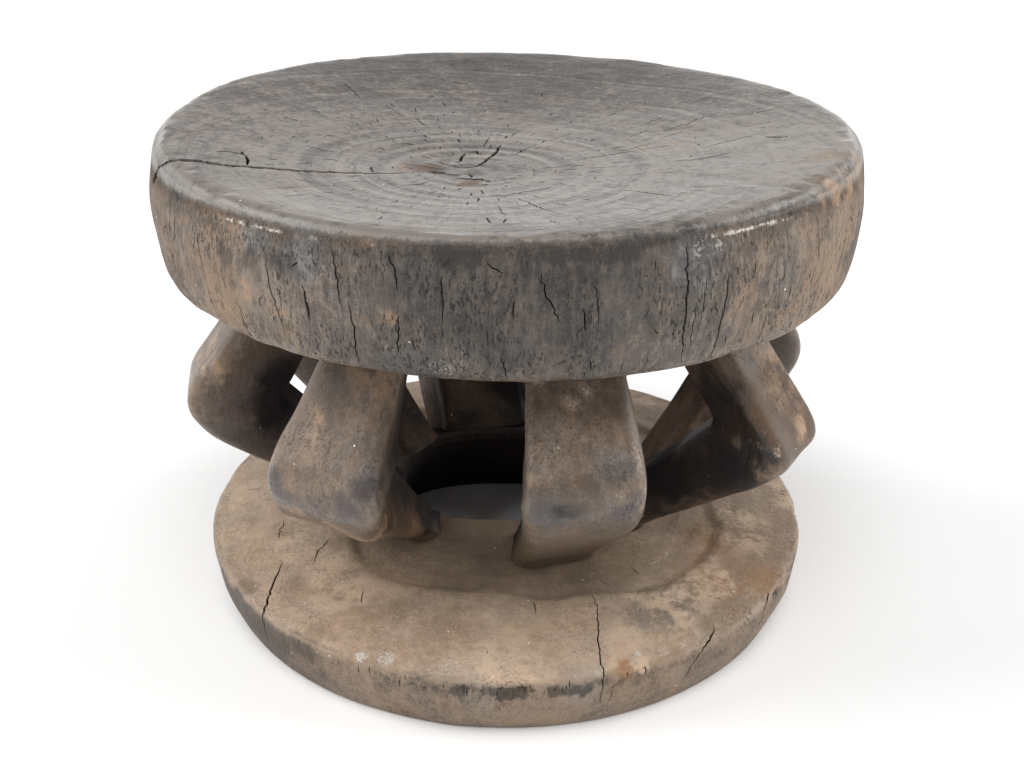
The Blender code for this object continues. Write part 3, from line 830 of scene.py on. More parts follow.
    # Painted light and shade in the tone: the side lighter away from the front and darker at its
    # far ends, the rim lightened where its sheen dips and given a painted highlight at the
    # front, and the top darker towards the back, where its sheen fades. The top is also lighter
    # towards the right front.
    tone = (0.80 * pale * (1 - 0.8 * ease(from_pith, 0.045, 0.0)) - 0.45 * flank
            + flank * (1.2 * ease(off, 0.15, 0.65) - 0.45 * ease(off, 0.9, 1.3))
            + 0.35 * pale * ease(s, rim - 0.004, rim + 0.001)
            + 0.7 * pale * bell(s - rim, 0.0005, 0.003) * (1 - ease(off, 0.35, 0.75))
            + 0.5 * spot(place, (-0.13, -0.13, 0.30), (0.07, 0.05, 0.1)) * pale
            - 0.9 * top * ease(points[:, 1], 0.02, 0.16)
            + 0.40 * top * ease(points[:, 0], 0.03, 0.14)
            * (1 - ease(points[:, 1], -0.03, 0.08))
            - 0.75 * band * (1 - streak) - 0.85 * stain
            + 0.35 * bell(s - profile.end, -0.010, 0.006) + 0.8 * streak + patch["tone"])
    umber = 0.20 * top + flank * (0.50 + 1.0 * ease(off, 0.35, 1.0)) + 0.9 * band
    warm = (0.35 * band * (1 - streak) * ease(fractal(place, (40, 40, 60), 31), 0.0, 0.5)
            + side * 0.3 * ease(fractal(place, (16, 16, 24), 33), 0.1, 0.5) + patch["warm"])
    gloss = (0.45 * top + 0.2 * lip + 1.2 * streak - 0.9 * band * (1 - streak)
             - 0.7 * flank * ease(off, 0.6, 1.1) + patch["gloss"])
    # The underside carries painted shade: a darker tone and part of the near-black shade
    new_piece("seat_carved", co, faces, material, "seat", "seat_wood",
              crack=np.clip(deep / CRACK_BLACK_DEPTH, 0, 1), tone=(tone, -0.6),
              warm=np.clip(warm, 0, 1), gloss=np.clip(gloss, -1, 1), top=top,
              pitted=(0.10 * top + 1.5 * side * (1 - 0.5 * lip), 0.3), shut=(0 * top, 0.45),
              umber=(umber + patch["umber"], 0.6), scuff=1.3 * streak + patch["scuff"])


# The base

def hole_radius(half_x, half_y, angle):
    across = (np.abs(np.sin(angle)) / half_x) ** HOLE_CORNER_POWER
    along = (np.abs(np.cos(angle)) / half_y) ** HOLE_CORNER_POWER
    return (across + along) ** (-1 / HOLE_CORNER_POWER)


def base_top_height(radius):
    inner = (HOLE_TOP_HALF_X + HOLE_TOP_HALF_Y) / 2
    share = (BASE_RIDGE_RADIUS - radius) / (BASE_RIDGE_RADIUS - inner)
    return BASE_RIDGE_HEIGHT + (BASE_CROWN_HEIGHT - BASE_RIDGE_HEIGHT) * share


BASE_CRACKS = (
    (((-141.5, -86), (-144.3, -109), (-146.3, -133), (-150, -139), (-161, -151)), 1.4, 4.0),
    (((-147.4, -41), (-147.6, -63)), 0.8, 2.0), (((-112.6, -66), (-119.5, -78.5),
    (-120.8, -90)), 0.9, 2.2), (((162, -110), (161, -123), (172, -136)), 1.3, 3.2),
    (((124, -148), (115.3, -167), (115.8, -188)), 1.3, 3.4), (((51.8, -123), (54.2, -135),
    (54, -158), (54, -180), (57, -200), (60.5, -213)), 0.8, 2.4), (((16.3, -134),
    (17, -145)), 0.7, 1.8), (((-87, -120), (-87.5, -132)), 0.6, 1.6),
)

# Edge of the hollow that the carver cleared between the legs: angle from the front in
# degrees and radius in mm
BASE_HOLLOW = ((-75, 92), (-60, 118), (-50, 128), (-40, 136), (-32, 135), (-24, 131), (-15, 128),
               (-5, 125), (8, 132), (22, 135), (34, 146), (42, 150), (55, 152), (70, 150),
               (82, 138), (100, 128), (125, 132), (150, 126), (175, 131), (200, 126), (225, 133),
               (250, 124), (270, 110), (285, 92))


def hollow_edge(angle):
    table = np.array(BASE_HOLLOW, float)
    return np.interp(np.degrees(angle + math.radians(75)) % 360, table[:, 0] + 75,
                     table[:, 1]) * MM


# Patches of wear, chips and stain, and of painted shade, by what they change, each a place in
# mm, a size and an amount
BASE_PATCHES = {
    "warm": (
        (-137, -75, 45, 20, 0.8), (-99, -117, 46, 22, 0.9), (70, -160, 43, 13, 1.0),
        (62, -168, 42, 10, 1.0), (41, -141, 47, 16, 0.8), (129, -107, 44, 16, 1.0),
        (64, -180, 40, 8, 1.2), (76, -178, 40, 8, 1.2),),
    "tone": (
        (66, -164, 42, 15, 0.5), (65, -183, 38, 7, -0.6), (76, -180, 38, 6, -0.5),
        (-127, -114, 43, 13, -0.5), (96, -137, 44, 28, -0.55), (-160, -110, 40, 9, -0.9),
        (-115, -155, 40, 14, -0.5),),
    "scuff": (
        (-82, -175, 40, 7, 1.0), (-68, -178, 40, 6, 0.9), (75, -172, 41, 5, 1.1),
        (90, -168, 40, 6, 0.6), (102, -161, 40, 6, 0.6), (115, -154, 40, 6, 0.6),
        (-30, -185, 40, 9, 0.6),),
    "gloss": (
        (-82, -175, 40, 7, 1.0), (-68, -178, 40, 6, 1.0),),
    "umber": (
        (96, -137, 44, 24, -0.6), (66, -183, 38, 8, 1.0), (140, -90, 42, 40, 0.8),
        (-14, -196, 34, 16, -0.5), (43, -192, 32, 14, -0.5),),
    "shut": (
        (-78, 16, 58, 20, 1.2), (-78, 40, 58, 18, 1.0),),
}

# Charred places at the front of the ridge: amount, place and size
BASE_SCORCHES = ((1.0, (-0.020, -0.195, 0.033), (0.022, 0.02, 0.006)),
                 (0.9, (0.006, -0.197, 0.032), (0.020, 0.02, 0.008)),
                 (1.0, (0.036, -0.193, 0.032), (0.024, 0.02, 0.009)))


def hole_mouth(angle):
    """Radius of the hole's mouth, where its rounding meets the top."""
    return hole_radius(HOLE_TOP_HALF_X + HOLE_MOUTH_ROUNDING,
                       HOLE_TOP_HALF_Y + HOLE_MOUTH_ROUNDING, angle)


def base_profile():
    top = [(r, float(base_top_height(r)))
           for r in np.linspace(0.050, BASE_RIDGE_RADIUS - 2 * BASE_RIDGE_ROUNDING, 40)]
    belly, sole = (BASE_BELLY_RADIUS, BASE_BELLY_HEIGHT), (BASE_SOLE_RADIUS, 0.0)
    ridge = corner_curve(top[-1], (BASE_RIDGE_RADIUS, BASE_RIDGE_HEIGHT), belly,
                         BASE_RIDGE_ROUNDING, 10)
    heel = corner_curve(belly, (BASE_FOOT_RADIUS, 0.0), sole, 0.003, 5)
    return Profile(top + ridge + [belly] + heel + [sole], 0.050)


def base_flat_map(profile, ridge_at):
    """Points, depth and triangles of the top and the side, with the cracks cut in."""
    rng = np.random.default_rng(BASE_SEED)
    flat = FlatMap()
    turns = ring_angles(BASE_EDGE_POINTS)
    flat.boundary(around(hole_mouth(turns), turns))
    flat.boundary(around(profile.end, turns))
    for points, width, depth in BASE_CRACKS:
        flat.crack(crack_line(np.array(points) * MM, rng), width * MM, depth * MM)

    def check():
        angle = rng.uniform(0, TAU)
        start = rng.uniform(0.110, profile.end - 0.022)
        end = start + rng.uniform(0.004, 0.014)
        line = crack_line([spoke(start, angle), spoke(end, angle + rng.normal(0, 0.02))], rng)
        return line if end <= profile.end - 0.006 else None

    flat.scatter(check, 34, 3000, 0.003, rng, (0.3, 0.6), (0.7, 1.6))

    # Torn fibres just under the ridge, most of them in front
    for tooth in range(62):
        angle = math.radians(rng.normal(4, 12) if tooth < 34 else rng.uniform(-180, 180))
        start = ridge_at + rng.uniform(-0.0010, 0.0040)
        end = start + rng.uniform(0.0022, 0.0070)
        line = crack_line([spoke(start, angle), spoke(end, angle)], rng, 0.0012, 0.0001)
        flat.crack_if_clear(line, 0.0014, rng, (0.25, 0.75), (0.6, 1.5))

    radii = np.concatenate([np.arange(0.060, ridge_at - 0.006, 0.0029),
                            np.arange(ridge_at - 0.006, ridge_at + 0.012, 0.0013),
                            np.arange(ridge_at + 0.012, profile.end - 0.0015, 0.0024)])
    grid = staggered_rings(
        radii, lambda r: 0.0017 if ridge_at - 0.007 < r < ridge_at + 0.013 else 0.0029)

    def past_mouth(points, share, room):
        return np.hypot(*points.T) > hole_mouth(
            np.arctan2(points[:, 0], -points[:, 1])) * share + room

    return flat.triangulate(
        grid[past_mouth(grid, 1, 0.0012)], CRACK_ROOM,
        lambda m: past_mouth(m, 0.9995, 0) & (np.hypot(*m.T) < profile.end))


def hole_rings():
    """The wall of the hole, from the floor up to its mouth."""
    turns = ring_angles(BASE_EDGE_POINTS)
    rings = []
    for share, mouth_share, height_share in HOLE_WALL:
        half_x, half_y = (top + (bottom - top) * share + HOLE_MOUTH_ROUNDING * mouth_share
                          for top, bottom in ((HOLE_TOP_HALF_X, HOLE_BOTTOM_HALF_X),
                                              (HOLE_TOP_HALF_Y, HOLE_BOTTOM_HALF_Y)))
        radius = hole_radius(half_x, half_y, turns)
        height = BASE_CROWN_HEIGHT * height_share
        ring = around(radius, turns, height)
        if 0 < height_share < 0.95:
            push = 0.0012 * fractal(ring, (45, 45, 45), 61)
            ring = ring + around(push, turns, 0.0)
        rings.append(ring)
    return rings


def build_base(material):
    profile = base_profile()
    ridge_at = float(profile.s[np.argmin(np.abs(profile.r - BASE_RIDGE_RADIUS)
                                         + np.abs(profile.z - BASE_RIDGE_HEIGHT))])
    points, deep, tris = base_flat_map(profile, ridge_at)
    s, angle, r, z, nr, nz = profile.at(points)
    place, turned = around(r, angle, z), np.stack([s, np.sin(angle), np.cos(angle)], 1)
    mouth, edge = hole_mouth(angle), hollow_edge(angle)
    on_top = 1 - ease(s, ridge_at - 0.004, ridge_at + 0.002)
    side = ease(s, ridge_at - 0.002, ridge_at + 0.006)
    ridge_band = bell(s - ridge_at, 0.001, 0.0045)
    below_band = bell(s - ridge_at, 0.0065, 0.0045)
    wobble = 0.003 * fractal(place, (40, 40, 1), 41)
    hollow = on_top * (1 - ease(s, edge - 0.005 + wobble, edge + 0.0035 + wobble))
    plain_top = on_top * (1 - hollow)
    strokes = np.abs(noise(turned, (198, 2, 2), 43))
    chip = ease(fractal(place, (95, 95, 140), 45, 3), 0.02, 0.42)
    chipped = ease(fractal(place, (11, 11, 2), 47, 2), -0.35, 0.25)
    relief = (0.0007 * on_top * fractal(place, (24, 24, 24), 49)
              - hollow * np.clip((s - mouth) / 0.012, 0, 1) * (0.0026 + 0.0009 * strokes)
              + plain_top * 0.0004 * noise(turned, (260, 3.6, 3.6), 53)
              + side * 0.0009 * fractal(place, (30, 30, 18), 55)
              - 0.0019 * (ridge_band + 0.7 * below_band) * chip * chipped
              + 0.0008 * ridge_band * fractal(place, (45, 45, 10), 57))
    ends = ease(s, mouth, mouth + 0.004) * (
        1 - ease(s, profile.end - 0.010, profile.end - 0.003))
    relief = relief * ends - deep
    co = around(r + nr * relief, angle, np.maximum(z + nz * relief, 0.0))

    # The sole runs in to the hole, and the wall of the hole up to its mouth
    outer_loop = loop_at(angle, np.abs(s - profile.end) < 1e-5)
    inner_loop = loop_at(angle, np.abs(s - mouth) < 2e-5)
    assert len(outer_loop) == len(inner_loop) == BASE_EDGE_POINTS
    co[outer_loop, 2] = 0.0
    wall = hole_rings()
    turns, inner = ring_angles(BASE_EDGE_POINTS), np.hypot(wall[0][:, 0], wall[0][:, 1])
    sole = [around(profile.r[-1] + (inner - profile.r[-1]) * share, turns, 0.0)
            for share in (0.25, 0.5, 0.75)]
    loops = numbered_loops(len(co), len(sole + wall), BASE_EDGE_POINTS)
    faces = [tuple(t) for t in tris] + join_loops([outer_loop] + loops + [inner_loop])
    co = np.concatenate([co] + sole + wall)

    off = np.abs(angle)
    patch = patches(place, BASE_PATCHES)
    scorch = sum(amount * spot(place, centre, sizes) for amount, centre, sizes in BASE_SCORCHES)
    torn = ease(1.3 * fractal(place, (150, 150, 90), 65, 4) + 0.7 * scorch, 0.25, 0.95)
    # Painted light and shade in the tone: the top lighter than the side, the hollow darker,
    # partly unworn wood and partly painted shade of the seat, a painted shadow line along the
    # hollow's edge, and the top darker towards the right. The side is also darker away from the
    # front and at the left.
    tone = (0.85 * plain_top + 0.10 * hollow - 0.35 * side
            - 0.70 * plain_top * ease(place[:, 0], 0.05, 0.14)
            - 0.8 * on_top * bell(s - edge, wobble - 0.001, 0.0022)
            * ease(fractal(place, (28, 28, 28), 67), -0.3, 0.4)
            - 0.35 * side * ease(off, 0.25, 0.7)
            - 0.70 * side * ease(-angle, 0.45, 0.9) * (1 - ease(-angle, 1.6, 2.9))
            + patch["tone"] - 0.5 * chipped * chip * (ridge_band * 0.6 + below_band)
            - 1.5 * torn * ease(s, ridge_at, ridge_at + 0.0025) * np.clip(scorch * 2, 0, 1)
            + 0.25 * hollow * strokes)
    warm = plain_top * ease(fractal(place, (20, 20, 20), 63), -0.05, 0.5)
    # Painted shade on the back of the top near the hole, and in patches
    shut = (ease(off, 1.3, 2.0) * on_top * (1 - ease(s - mouth, 0.012, 0.05)) * 0.9
            + 0.25 * ease(place[:, 1], 0.03, 0.10) * on_top + patch["shut"])
    # The sole and the wall of the hole carry painted shade: a dark tone and near black
    new_piece("base_carved", co, faces, material, "base_ring", "base_wood",
              crack=np.clip(deep / CRACK_BLACK_DEPTH, 0, 1), tone=(tone, -0.9),
              warm=np.clip(warm * (1 - 0.7 * below_band) + patch["warm"], 0, 1),
              gloss=np.clip(0.5 * ridge_band + patch["gloss"], 0, 1),
              pitted=(0.25 * on_top + 0.3 * side + 0.4 * ridge_band, 0.3),
              shut=(np.clip(shut, 0, 1), 0.95), umber=(0.35 + patch["umber"], 0.3),
              scuff=patch["scuff"])


# The legs

def leg_sections(knee_share, toe_share, rise_share, reach_share, notch_share,
                 foot_share, top_share):
    """Outer and inner point (radius, height) of each section down a leg."""
    top = SEAT_UNDERSIDE + LEG_SEAT_OVERLAP
    outer_top, inner_top = (LEG_TOP_OUTER, top), (LEG_TOP_INNER * top_share, top)
    knee = (LEG_KNEE_RADIUS * reach_share, LEG_KNEE_HEIGHT * knee_share)
    toe = (LEG_TOE_RADIUS * reach_share, knee[1] - LEG_TOE_DROP * toe_share)
    notch = (LEG_NOTCH_RADIUS * notch_share, toe[1] + LEG_NOTCH_RISE * rise_share)
    foot_radius = LEG_FOOT_OUTER * foot_share
    outer_foot, inner_foot = (
        (radius, float(base_top_height(radius)))
        for radius in (foot_radius, max(foot_radius - LEG_FOOT_DEPTH, LEG_FOOT_INNER)))
    outer = (corner_curve(outer_top, knee, toe, LEG_KNEE_ROUNDING, LEG_BEND_STEPS)
             + corner_curve(knee, toe, outer_foot, LEG_TOE_ROUNDING, LEG_BEND_STEPS))
    inner = corner_curve(inner_top, notch, inner_foot, LEG_NOTCH_ROUNDING,
                         2 * LEG_BEND_STEPS + 1)
    return ([(between(outer_top, outer[0], t), between(inner_top, inner[0], t))
             for t in LEG_UPPER_SHARES] + list(zip(outer, inner))
            + [(between(outer[-1], outer_foot, t), between(inner[-1], inner_foot, t))
               for t in LEG_LOWER_SHARES])


def rounded_section(depth, half_width, steps, spans):
    """Rounded rectangle as (inward, sideways) offsets from the outer point, with points
    on its straight runs too."""
    corners = ((0, 1, LEG_OUTER_EDGE_ROUNDING), (1, 1, LEG_INNER_EDGE_ROUNDING),
               (1, -1, LEG_INNER_EDGE_ROUNDING), (0, -1, LEG_OUTER_EDGE_ROUNDING))
    curves = []
    for number, (end, side, rounding) in enumerate(corners):
        half = half_width if end == 0 else half_width * LEG_INNER_WIDTH_SHARE
        radius = min(rounding, 0.45 * depth, 0.9 * half)
        centre_in = radius if end == 0 else depth - radius
        centre_side = side * (half - radius)
        turns = [math.pi - number * math.pi / 2 - step * math.pi / 2 / steps
                 for step in range(steps + 1)]
        curves.append([(centre_in + radius * math.cos(turn),
                        centre_side + radius * math.sin(turn)) for turn in turns])
    points = []
    for curve, following in zip(curves, curves[1:] + curves[:1]):
        points += curve + [between(curve[-1], following[0], step / spans)
                           for step in range(1, spans)]
    return points


# Patches on each leg by what they change: wear, chips and stain, and painted light and shade on
# faces that the lamps light or leave dark
LEG_PATCHES = {
    "leg_front_left": {
        "warm": (
            (-104, -156, 174, 6, 1.2), (-102, -149, 182, 4.5, 0.9), (-102, -163, 167, 9, 0.5),),
        "tone": (
            (-104, -156, 174, 6, 0.6), (-128, -159, 147, 9, -0.5), (-116, -165, 137, 10, -0.5),
            (-104, -173, 138, 11, -0.5), (-87, -184, 145, 11, -0.5), (-75, -186, 157, 10, -0.5),
            (-85, -143, 200, 22, -0.6), (-66, -176, 156, 5, -1.0), (-51, -79, 74, 14, -1.4),
            (-56, -98, 82, 26, 0.7),),
        "umber": (
            (-128, -159, 147, 9, -1.6), (-116, -165, 137, 10, -1.6),
            (-104, -173, 138, 11, -1.6), (-87, -184, 145, 11, -1.6), (-75, -186, 157, 10, -1.4),
            (-70, -181, 162, 8, -1.2), (-65, -151, 112, 22, 0.6), (-56, -98, 82, 30, 1.2),),
        "gloss": (
            (-56, -98, 82, 30, -1.2),),
    },
    "leg_front_right": {
        "warm": (
            (33, -167, 200, 4.5, 0.8), (41, -163, 202, 3, 0.7),),
        "tone": (
            (33, -167, 200, 4.5, 0.9), (41, -163, 202, 3, 0.9), (16, -164, 206, 3.5, 0.8),
            (67, -191, 149, 12, -0.4), (22, -202, 152, 11, -0.4), (27, -201, 153, 4.5, -0.7),
            (33, -200, 153, 5, -0.9), (40, -199, 153, 4.5, -0.6), (45, -196, 153, 26, -0.5),
            (34, -163, 196, 26, 0.15),),
        "umber": (
            (56, -189, 171, 10, -1.5), (67, -191, 149, 12, -1.6), (22, -202, 152, 11, -1.4),),
        "gloss": (
            (59, -194, 157, 7, 0.8),),
        "scuff": (
            (33, -167, 200, 7, 0.7), (41, -163, 202, 4, 0.8), (16, -164, 206, 4.5, 0.6),
            (59, -194, 156, 6, 0.45), (67, -190, 153, 5, 0.4),),
    },
    "leg_right": {
        "warm": (
            (172, -98, 151, 7, 1.2), (168, -101, 143, 6, 0.8), (159, -89, 174, 26, 0.45),
            (154, -81, 185, 18, 0.4),),
        "shut": (
            (119, -99, 159, 16, 0.6), (97, -75, 105, 24, 0.7), (92, -74, 83, 18, 0.6),
            (111, -90, 107, 18, 0.6), (123, -110, 180, 12, 0.45), (128, -106, 131, 16, 0.5),
            (112, -92, 190, 10, 0.5), (100, -48, 103, 24, 0.5), (132, -112, 119, 16, 0.4),),
        "umber": (
            (140, -118, 140, 18, -1.2), (172, -98, 160, 40, 0.6),),
        "tone": (
            (140, -118, 140, 18, -0.5), (153, -126, 148, 3, 1.6), (143, -121, 148, 2.5, 1.4),
            (135, -114, 119, 2.5, 1.6), (124, -107, 169, 16, -1.3), (130, -110, 158, 16, -1.3),
            (123, -78, 141, 26, -1.2), (140, -121, 153, 12, -1.0), (140, -119, 132, 18, -1.3),
            (132, -112, 119, 18, -1.4), (123, -98, 99, 20, -1.2), (107, -84, 84, 20, -1.2),
            (116, -100, 186, 12, -1.1), (100, -48, 103, 26, -1.0), (151, -127, 143, 8, -0.6),
            (127, -100, 148, 15, -1.2), (147, -124, 138, 10, -0.7),),
        "gloss": (
            (168, -96, 165, 40, -0.8),),
        "scuff": (
            (143, -121, 148, 5, 0.6), (154, -126, 147, 5, 0.6),),
    },
    "leg_back_right": {
        "tone": (
            (122, 10, 104, 34, 1.3), (104, 18, 84, 30, 1.3),),
        "umber": (
            (112, 14, 94, 40, 0.6),),
    },
    "leg_back_left": {
        "umber": (
            (-68, 53, 90, 60, 1.6),),
        "gloss": (
            (-68, 53, 90, 60, -1.3),),
        "tone": (
            (-72, 58, 120, 50, -0.3), (-66, 50, 75, 24, 0.3),),
    },
    "leg_rear_left": {
        "tone": (
            (-50, 93, 80, 40, 0.9), (-20, 84, 78, 30, 0.6),),
        "umber": (
            (-30, 88, 78, 60, 0.8),),
        "shut": (
            (12, 90, 100, 34, 0.9),),
        "gloss": (
            (12, 90, 100, 40, -1.3),),
    },
    "leg_rear_right": {
        "shut": (
            (30, 95, 110, 40, 0.8),),
        "gloss": (
            (30, 95, 110, 50, -1.3),),
    },
    "leg_left": {
        "shut": (
            (-146, -51, 138, 20, 0.65), (-157, -56, 115, 18, 0.4), (-139, -51, 158, 14, 0.6),),
        "warm": (
            (-184, -59, 164, 6, 1.0), (-175, -65, 167, 5, 0.9),),
        "tone": (
            (-184, -59, 164, 6, 0.5), (-175, -65, 167, 5, 0.5), (-146, -53, 150, 2.5, 1.5),),
    },
}


def leg_surface(name):
    """Rows of points down the leg, and for each point its share of the way in, its
    share of the way to the side, and the height of the knee."""
    top_angle, knee_angle, foot_angle, foot_facing = map(math.radians, LEG_ANGLES[name])
    top_width, knee_width, foot_width = (
        size * share for size, share in zip((LEG_TOP_WIDTH, LEG_KNEE_WIDTH, LEG_FOOT_WIDTH),
                                            LEG_WIDTH_SHARES[name]))
    knee_height = LEG_KNEE_HEIGHT * LEG_CARVING_SHARES[name][0]
    rows, facts = [], []
    for outer, inner in leg_sections(*LEG_CARVING_SHARES[name]):
        middle = (outer[1] + inner[1]) / 2
        if middle > knee_height:
            share = (middle - knee_height) / (SEAT_UNDERSIDE - knee_height)
            end_angle, end_facing, end_width = top_angle, top_angle, top_width
        else:
            share = (knee_height - middle) / (knee_height - BASE_CROWN_HEIGHT)
            end_angle, end_facing, end_width = foot_angle, foot_facing, foot_width
        angle = knee_angle + (end_angle - knee_angle) * share
        facing = knee_angle + (end_facing - knee_angle) * share
        width = knee_width + (end_width - knee_width) * share
        depth = math.dist(outer, inner)
        inward = tuple((b - a) / depth for a, b in zip(outer, inner))
        row = []
        for along, across in rounded_section(depth, width / 2, 6, 7):
            back = inward[0] * along
            row.append((outer[0] * math.sin(angle) + back * math.sin(facing)
                        + across * math.cos(facing),
                        -outer[0] * math.cos(angle) - back * math.cos(facing)
                        + across * math.sin(facing),
                        outer[1] + inward[1] * along))
            facts.append((along / depth, across / (width / 2)))
        rows.append(row)
    return np.array(rows, float), np.array(facts), knee_height


def build_leg(name, material, number):
    co, facts, knee_height = leg_surface(name)
    count = co.shape[1]
    normal = np.cross(np.gradient(co, axis=0), np.roll(co, -1, 1) - np.roll(co, 1, 1))
    normal /= np.maximum(np.linalg.norm(normal, axis=2), 1e-9)[..., None]
    if float(((co - co.mean(1, keepdims=True)) * normal).sum()) < 0:
        normal = -normal
    loops = numbered_loops(0, len(co), count)
    faces = join_loops(loops) + [loops[0], loops[-1]]
    flat, normals = co.reshape(-1, 3), normal.reshape(-1, 3)

    # Roots that spread a little into the seat and the base
    to_seat = SEAT_UNDERSIDE - flat[:, 2]
    to_base = flat[:, 2] - base_top_height(np.hypot(flat[:, 0], flat[:, 1]))
    spread = (0.0025 * np.clip(1 - to_seat / 0.0060, 0, 1) ** 2
              + 0.0016 * np.clip(1 - to_base / 0.0050, 0, 1) ** 2)
    level = normals * (1, 1, 0)
    level /= np.maximum(np.linalg.norm(level, axis=1), 1e-6)[:, None]
    own_place = flat + np.array([number * 3.1, number * 1.7, 0])
    relief = (0.0010 * fractal(own_place, (22, 22, 22), 71, 2)
              + 0.0004 * noise(own_place, (75, 75, 45), 73))
    relief = relief * np.clip(np.minimum(to_seat, to_base) / 0.006, 0, 1)
    moved = flat + level * spread[:, None] + normals * relief[:, None]
    foot = moved[-count:]
    foot[:, 2] = base_top_height(np.hypot(foot[:, 0], foot[:, 1])) - LEG_BASE_OVERLAP

    inward, sideways = facts.T
    is_right, is_front_right = name == "leg_right", name == "leg_front_right"
    front = 1 - ease(inward, 0.25, 0.7)
    knee = bell(flat[:, 2] - knee_height, -0.010, 0.022) * front
    edge = ease(np.abs(sideways), 0.72, 0.98) * front
    rubbed = np.clip(edge * 0.45 + knee * 0.7, 0, 1)
    lower = ease(knee_height - flat[:, 2], 0.004, 0.03)
    inner_shade = LEG_INNER_SHADE_SHARES.get(name, 1.0)
    patch = patches(flat, LEG_PATCHES[name])
    # Painted light and shade in the tone: inner faces darker, the lower limb and the root under
    # the seat darker, and the fronts of the front legs lighter. Rubbed edges and knees are
    # lighter from wear.
    tone = (0.15 * front - 0.75 * inner_shade * (1 - front) + 0.25 * rubbed + patch["tone"]
            - 0.2 * np.clip(1 - to_seat / 0.02, 0, 1) - 0.25 * lower
            + 0.35 * front * (name == "leg_front_left") * (1 - lower)
            + 0.30 * front * is_front_right - 0.35 * lower - 0.35 * front * is_right)
    warm = ((0.7 - 0.4 * is_front_right) * front
            * ease(fractal(own_place, (24, 24, 18), 81), 0.05, 0.55)
            + 0.5 * rubbed * ease(fractal(own_place, (60, 60, 40), 83), 0.1, 0.5))
    # Painted shade on the inner faces, and in patches
    shut = 0.55 * inner_shade * ease(inward, 0.55, 0.95) + patch["shut"]
    new_piece(name + "_carved", moved, faces, material, name, "leg_wood", tone=tone,
              warm=np.clip(warm + patch["warm"], 0, 1), pitted=0.2 + 0.2 * front,
              gloss=np.clip(0.2 + 0.8 * knee + 0.4 * edge + patch["gloss"], -1, 1),
              shut=np.clip(shut, 0, 1), scuff=patch["scuff"],
              umber=(0.55 + 0.65 * is_right) * (1 - 0.75 * knee) + patch["umber"])


# Camera, floor and light

def add_camera():
    """The photograph's view: a pinhole fitted to the outlines of the seat and the base."""
    pitch, roll, yaw = CAMERA_PITCH_ROLL_YAW
    forward = Vector((math.sin(yaw) * math.cos(pitch), math.cos(yaw) * math.cos(pitch),
                      -math.sin(pitch)))
    right = Vector((math.cos(yaw), -math.sin(yaw), 0.0))
    up = right.cross(forward)
    across = math.cos(roll) * right + math.sin(roll) * up
    upward = -math.sin(roll) * right + math.cos(roll) * up
    data = bpy.data.cameras.new("camera")
    data.sensor_width = 36.0
    data.lens = CAMERA_LENS
    data.clip_end = 100.0
    camera = link("camera", data)
    camera.matrix_world = Matrix([*zip(across, upward, -forward, CAMERA_PLACE), (0, 0, 0, 1)])
    bpy.context.scene.camera = camera


def add_floor():
    bm = bmesh.new()
    bmesh.ops.create_circle(bm, cap_ends=True, radius=9.0, segments=96)
    mesh = bpy.data.meshes.new("floor")
    bm.to_mesh(mesh)
    bm.free()
    floor = link("floor", mesh)
    material = bpy.data.materials.new("floor_white")
    shader = Nodes(material).made["Principled BSDF"]
    shader.inputs["Base Color"].default_value = (0.985, 0.983, 0.980, 1)
    shader.inputs["Roughness"].default_value = 0.85
    shader.inputs["Specular IOR Level"].default_value = 0.2
    mesh.materials.append(material)


def add_light(name, direction, strength, softness):
    """A far, soft light that falls evenly on the whole floor."""
    data = bpy.data.lights.new(name, "SUN")
    data.energy = strength
    data.angle = math.radians(softness)
    light = link(name, data)
    light.rotation_mode = "QUATERNION"
    light.rotation_quaternion = Vector(direction).normalized().to_track_quat("Z", "Y")


def add_world():
    """A pale room: brightest low behind the stool, dimmer overhead."""
    world = bpy.data.worlds.new("studio")
    bpy.context.scene.world = world
    n = Nodes(world)
    back = n.made["Background"]
    back.inputs["Color"].default_value = (1.0, 1.0, 1.0, 1.0)
    low, high, glow, overhead = WORLD_GLOW
    _, y, z = n.split(n.node("ShaderNodeTexCoord").outputs["Generated"])
    share = n.ramp(z, low, high, 1.0, 0.0) * n.ramp(y, -0.5, 0.6, 0.35, 1.0)
    n.put(back.inputs["Strength"], n.math("MULTIPLY_ADD", share, glow, overhead))


# Build

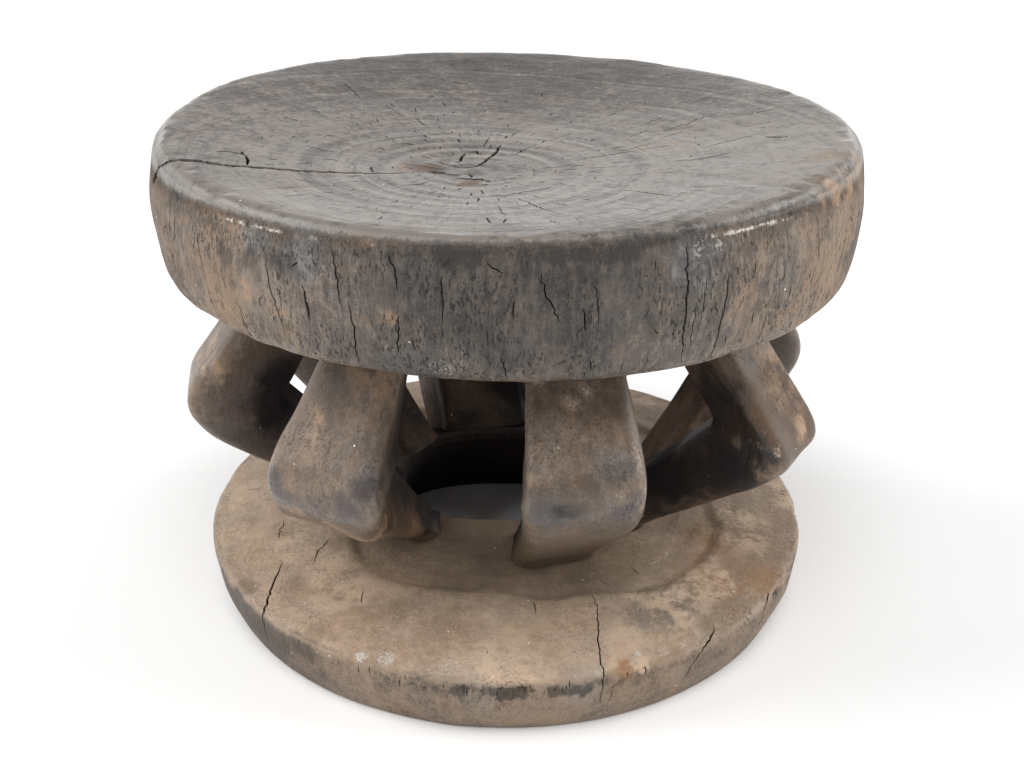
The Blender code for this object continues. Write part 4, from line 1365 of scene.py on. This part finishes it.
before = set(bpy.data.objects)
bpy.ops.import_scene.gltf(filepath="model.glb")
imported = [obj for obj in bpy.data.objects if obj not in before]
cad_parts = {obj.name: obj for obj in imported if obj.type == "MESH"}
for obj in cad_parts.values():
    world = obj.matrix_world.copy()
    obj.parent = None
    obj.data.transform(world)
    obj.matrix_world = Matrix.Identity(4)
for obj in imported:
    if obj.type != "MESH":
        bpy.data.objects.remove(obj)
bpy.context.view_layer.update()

build_seat(wood_material(
    "seat_wood_aged",
    (colour(0.022, 0.019, 0.017), colour(0.080, 0.070, 0.062),
     colour(0.200, 0.180, 0.160), colour(0.300, 0.190, 0.110)),
    (300, 300, 45), (800, 800, 240),
    {"cloud": 0.82, "mottle": 1.15, "fibre": 1.0, "rings": 1.05,
     "fleck": 0.18, "specks": 0.975, "rough": 0.46, "polish": 0.30, "specular": 0.58,
     "bump": 0.0007, "pores": 0.35}))
build_base(wood_material(
    "base_wood_aged",
    (colour(0.075, 0.060, 0.047), colour(0.270, 0.210, 0.158),
     colour(0.480, 0.385, 0.300), colour(0.560, 0.420, 0.300)),
    (260, 260, 60), (600, 600, 300),
    {"cloud": 0.55, "mottle": 0.5, "fibre": 0.25, "fleck": 0.15,
     "specks": 0.90, "rough": 0.62, "polish": 0.34, "specular": 0.4, "bump": 0.0007,
     "pores": 0.35}))
leg_wood = wood_material(
    "leg_wood_aged",
    (colour(0.022, 0.017, 0.015), colour(0.100, 0.079, 0.064),
     colour(0.240, 0.195, 0.160), colour(0.380, 0.250, 0.155)),
    (220, 220, 50), (600, 600, 240),
    {"cloud": 0.45, "mottle": 0.5, "fibre": 0.35, "fleck": 0.12,
     "specks": 0.94, "rough": 0.52, "polish": 0.24, "specular": 0.36, "bump": 0.0005,
     "pores": 0.20})
for leg_number, leg_name in enumerate(LEG_ANGLES):
    build_leg(leg_name, leg_wood, leg_number)

add_camera()
add_floor()
add_light("left_window", (-0.82, 0.08, 0.57), 1.7, 40)
add_light("right_window", (0.88, 0.12, 0.45), 1.6, 35)
add_light("overhead", (-0.05, -0.40, 0.90), 1.3, 40)
add_world()
view = bpy.context.scene.view_settings
view.view_transform = "Standard"
view.look = "None"
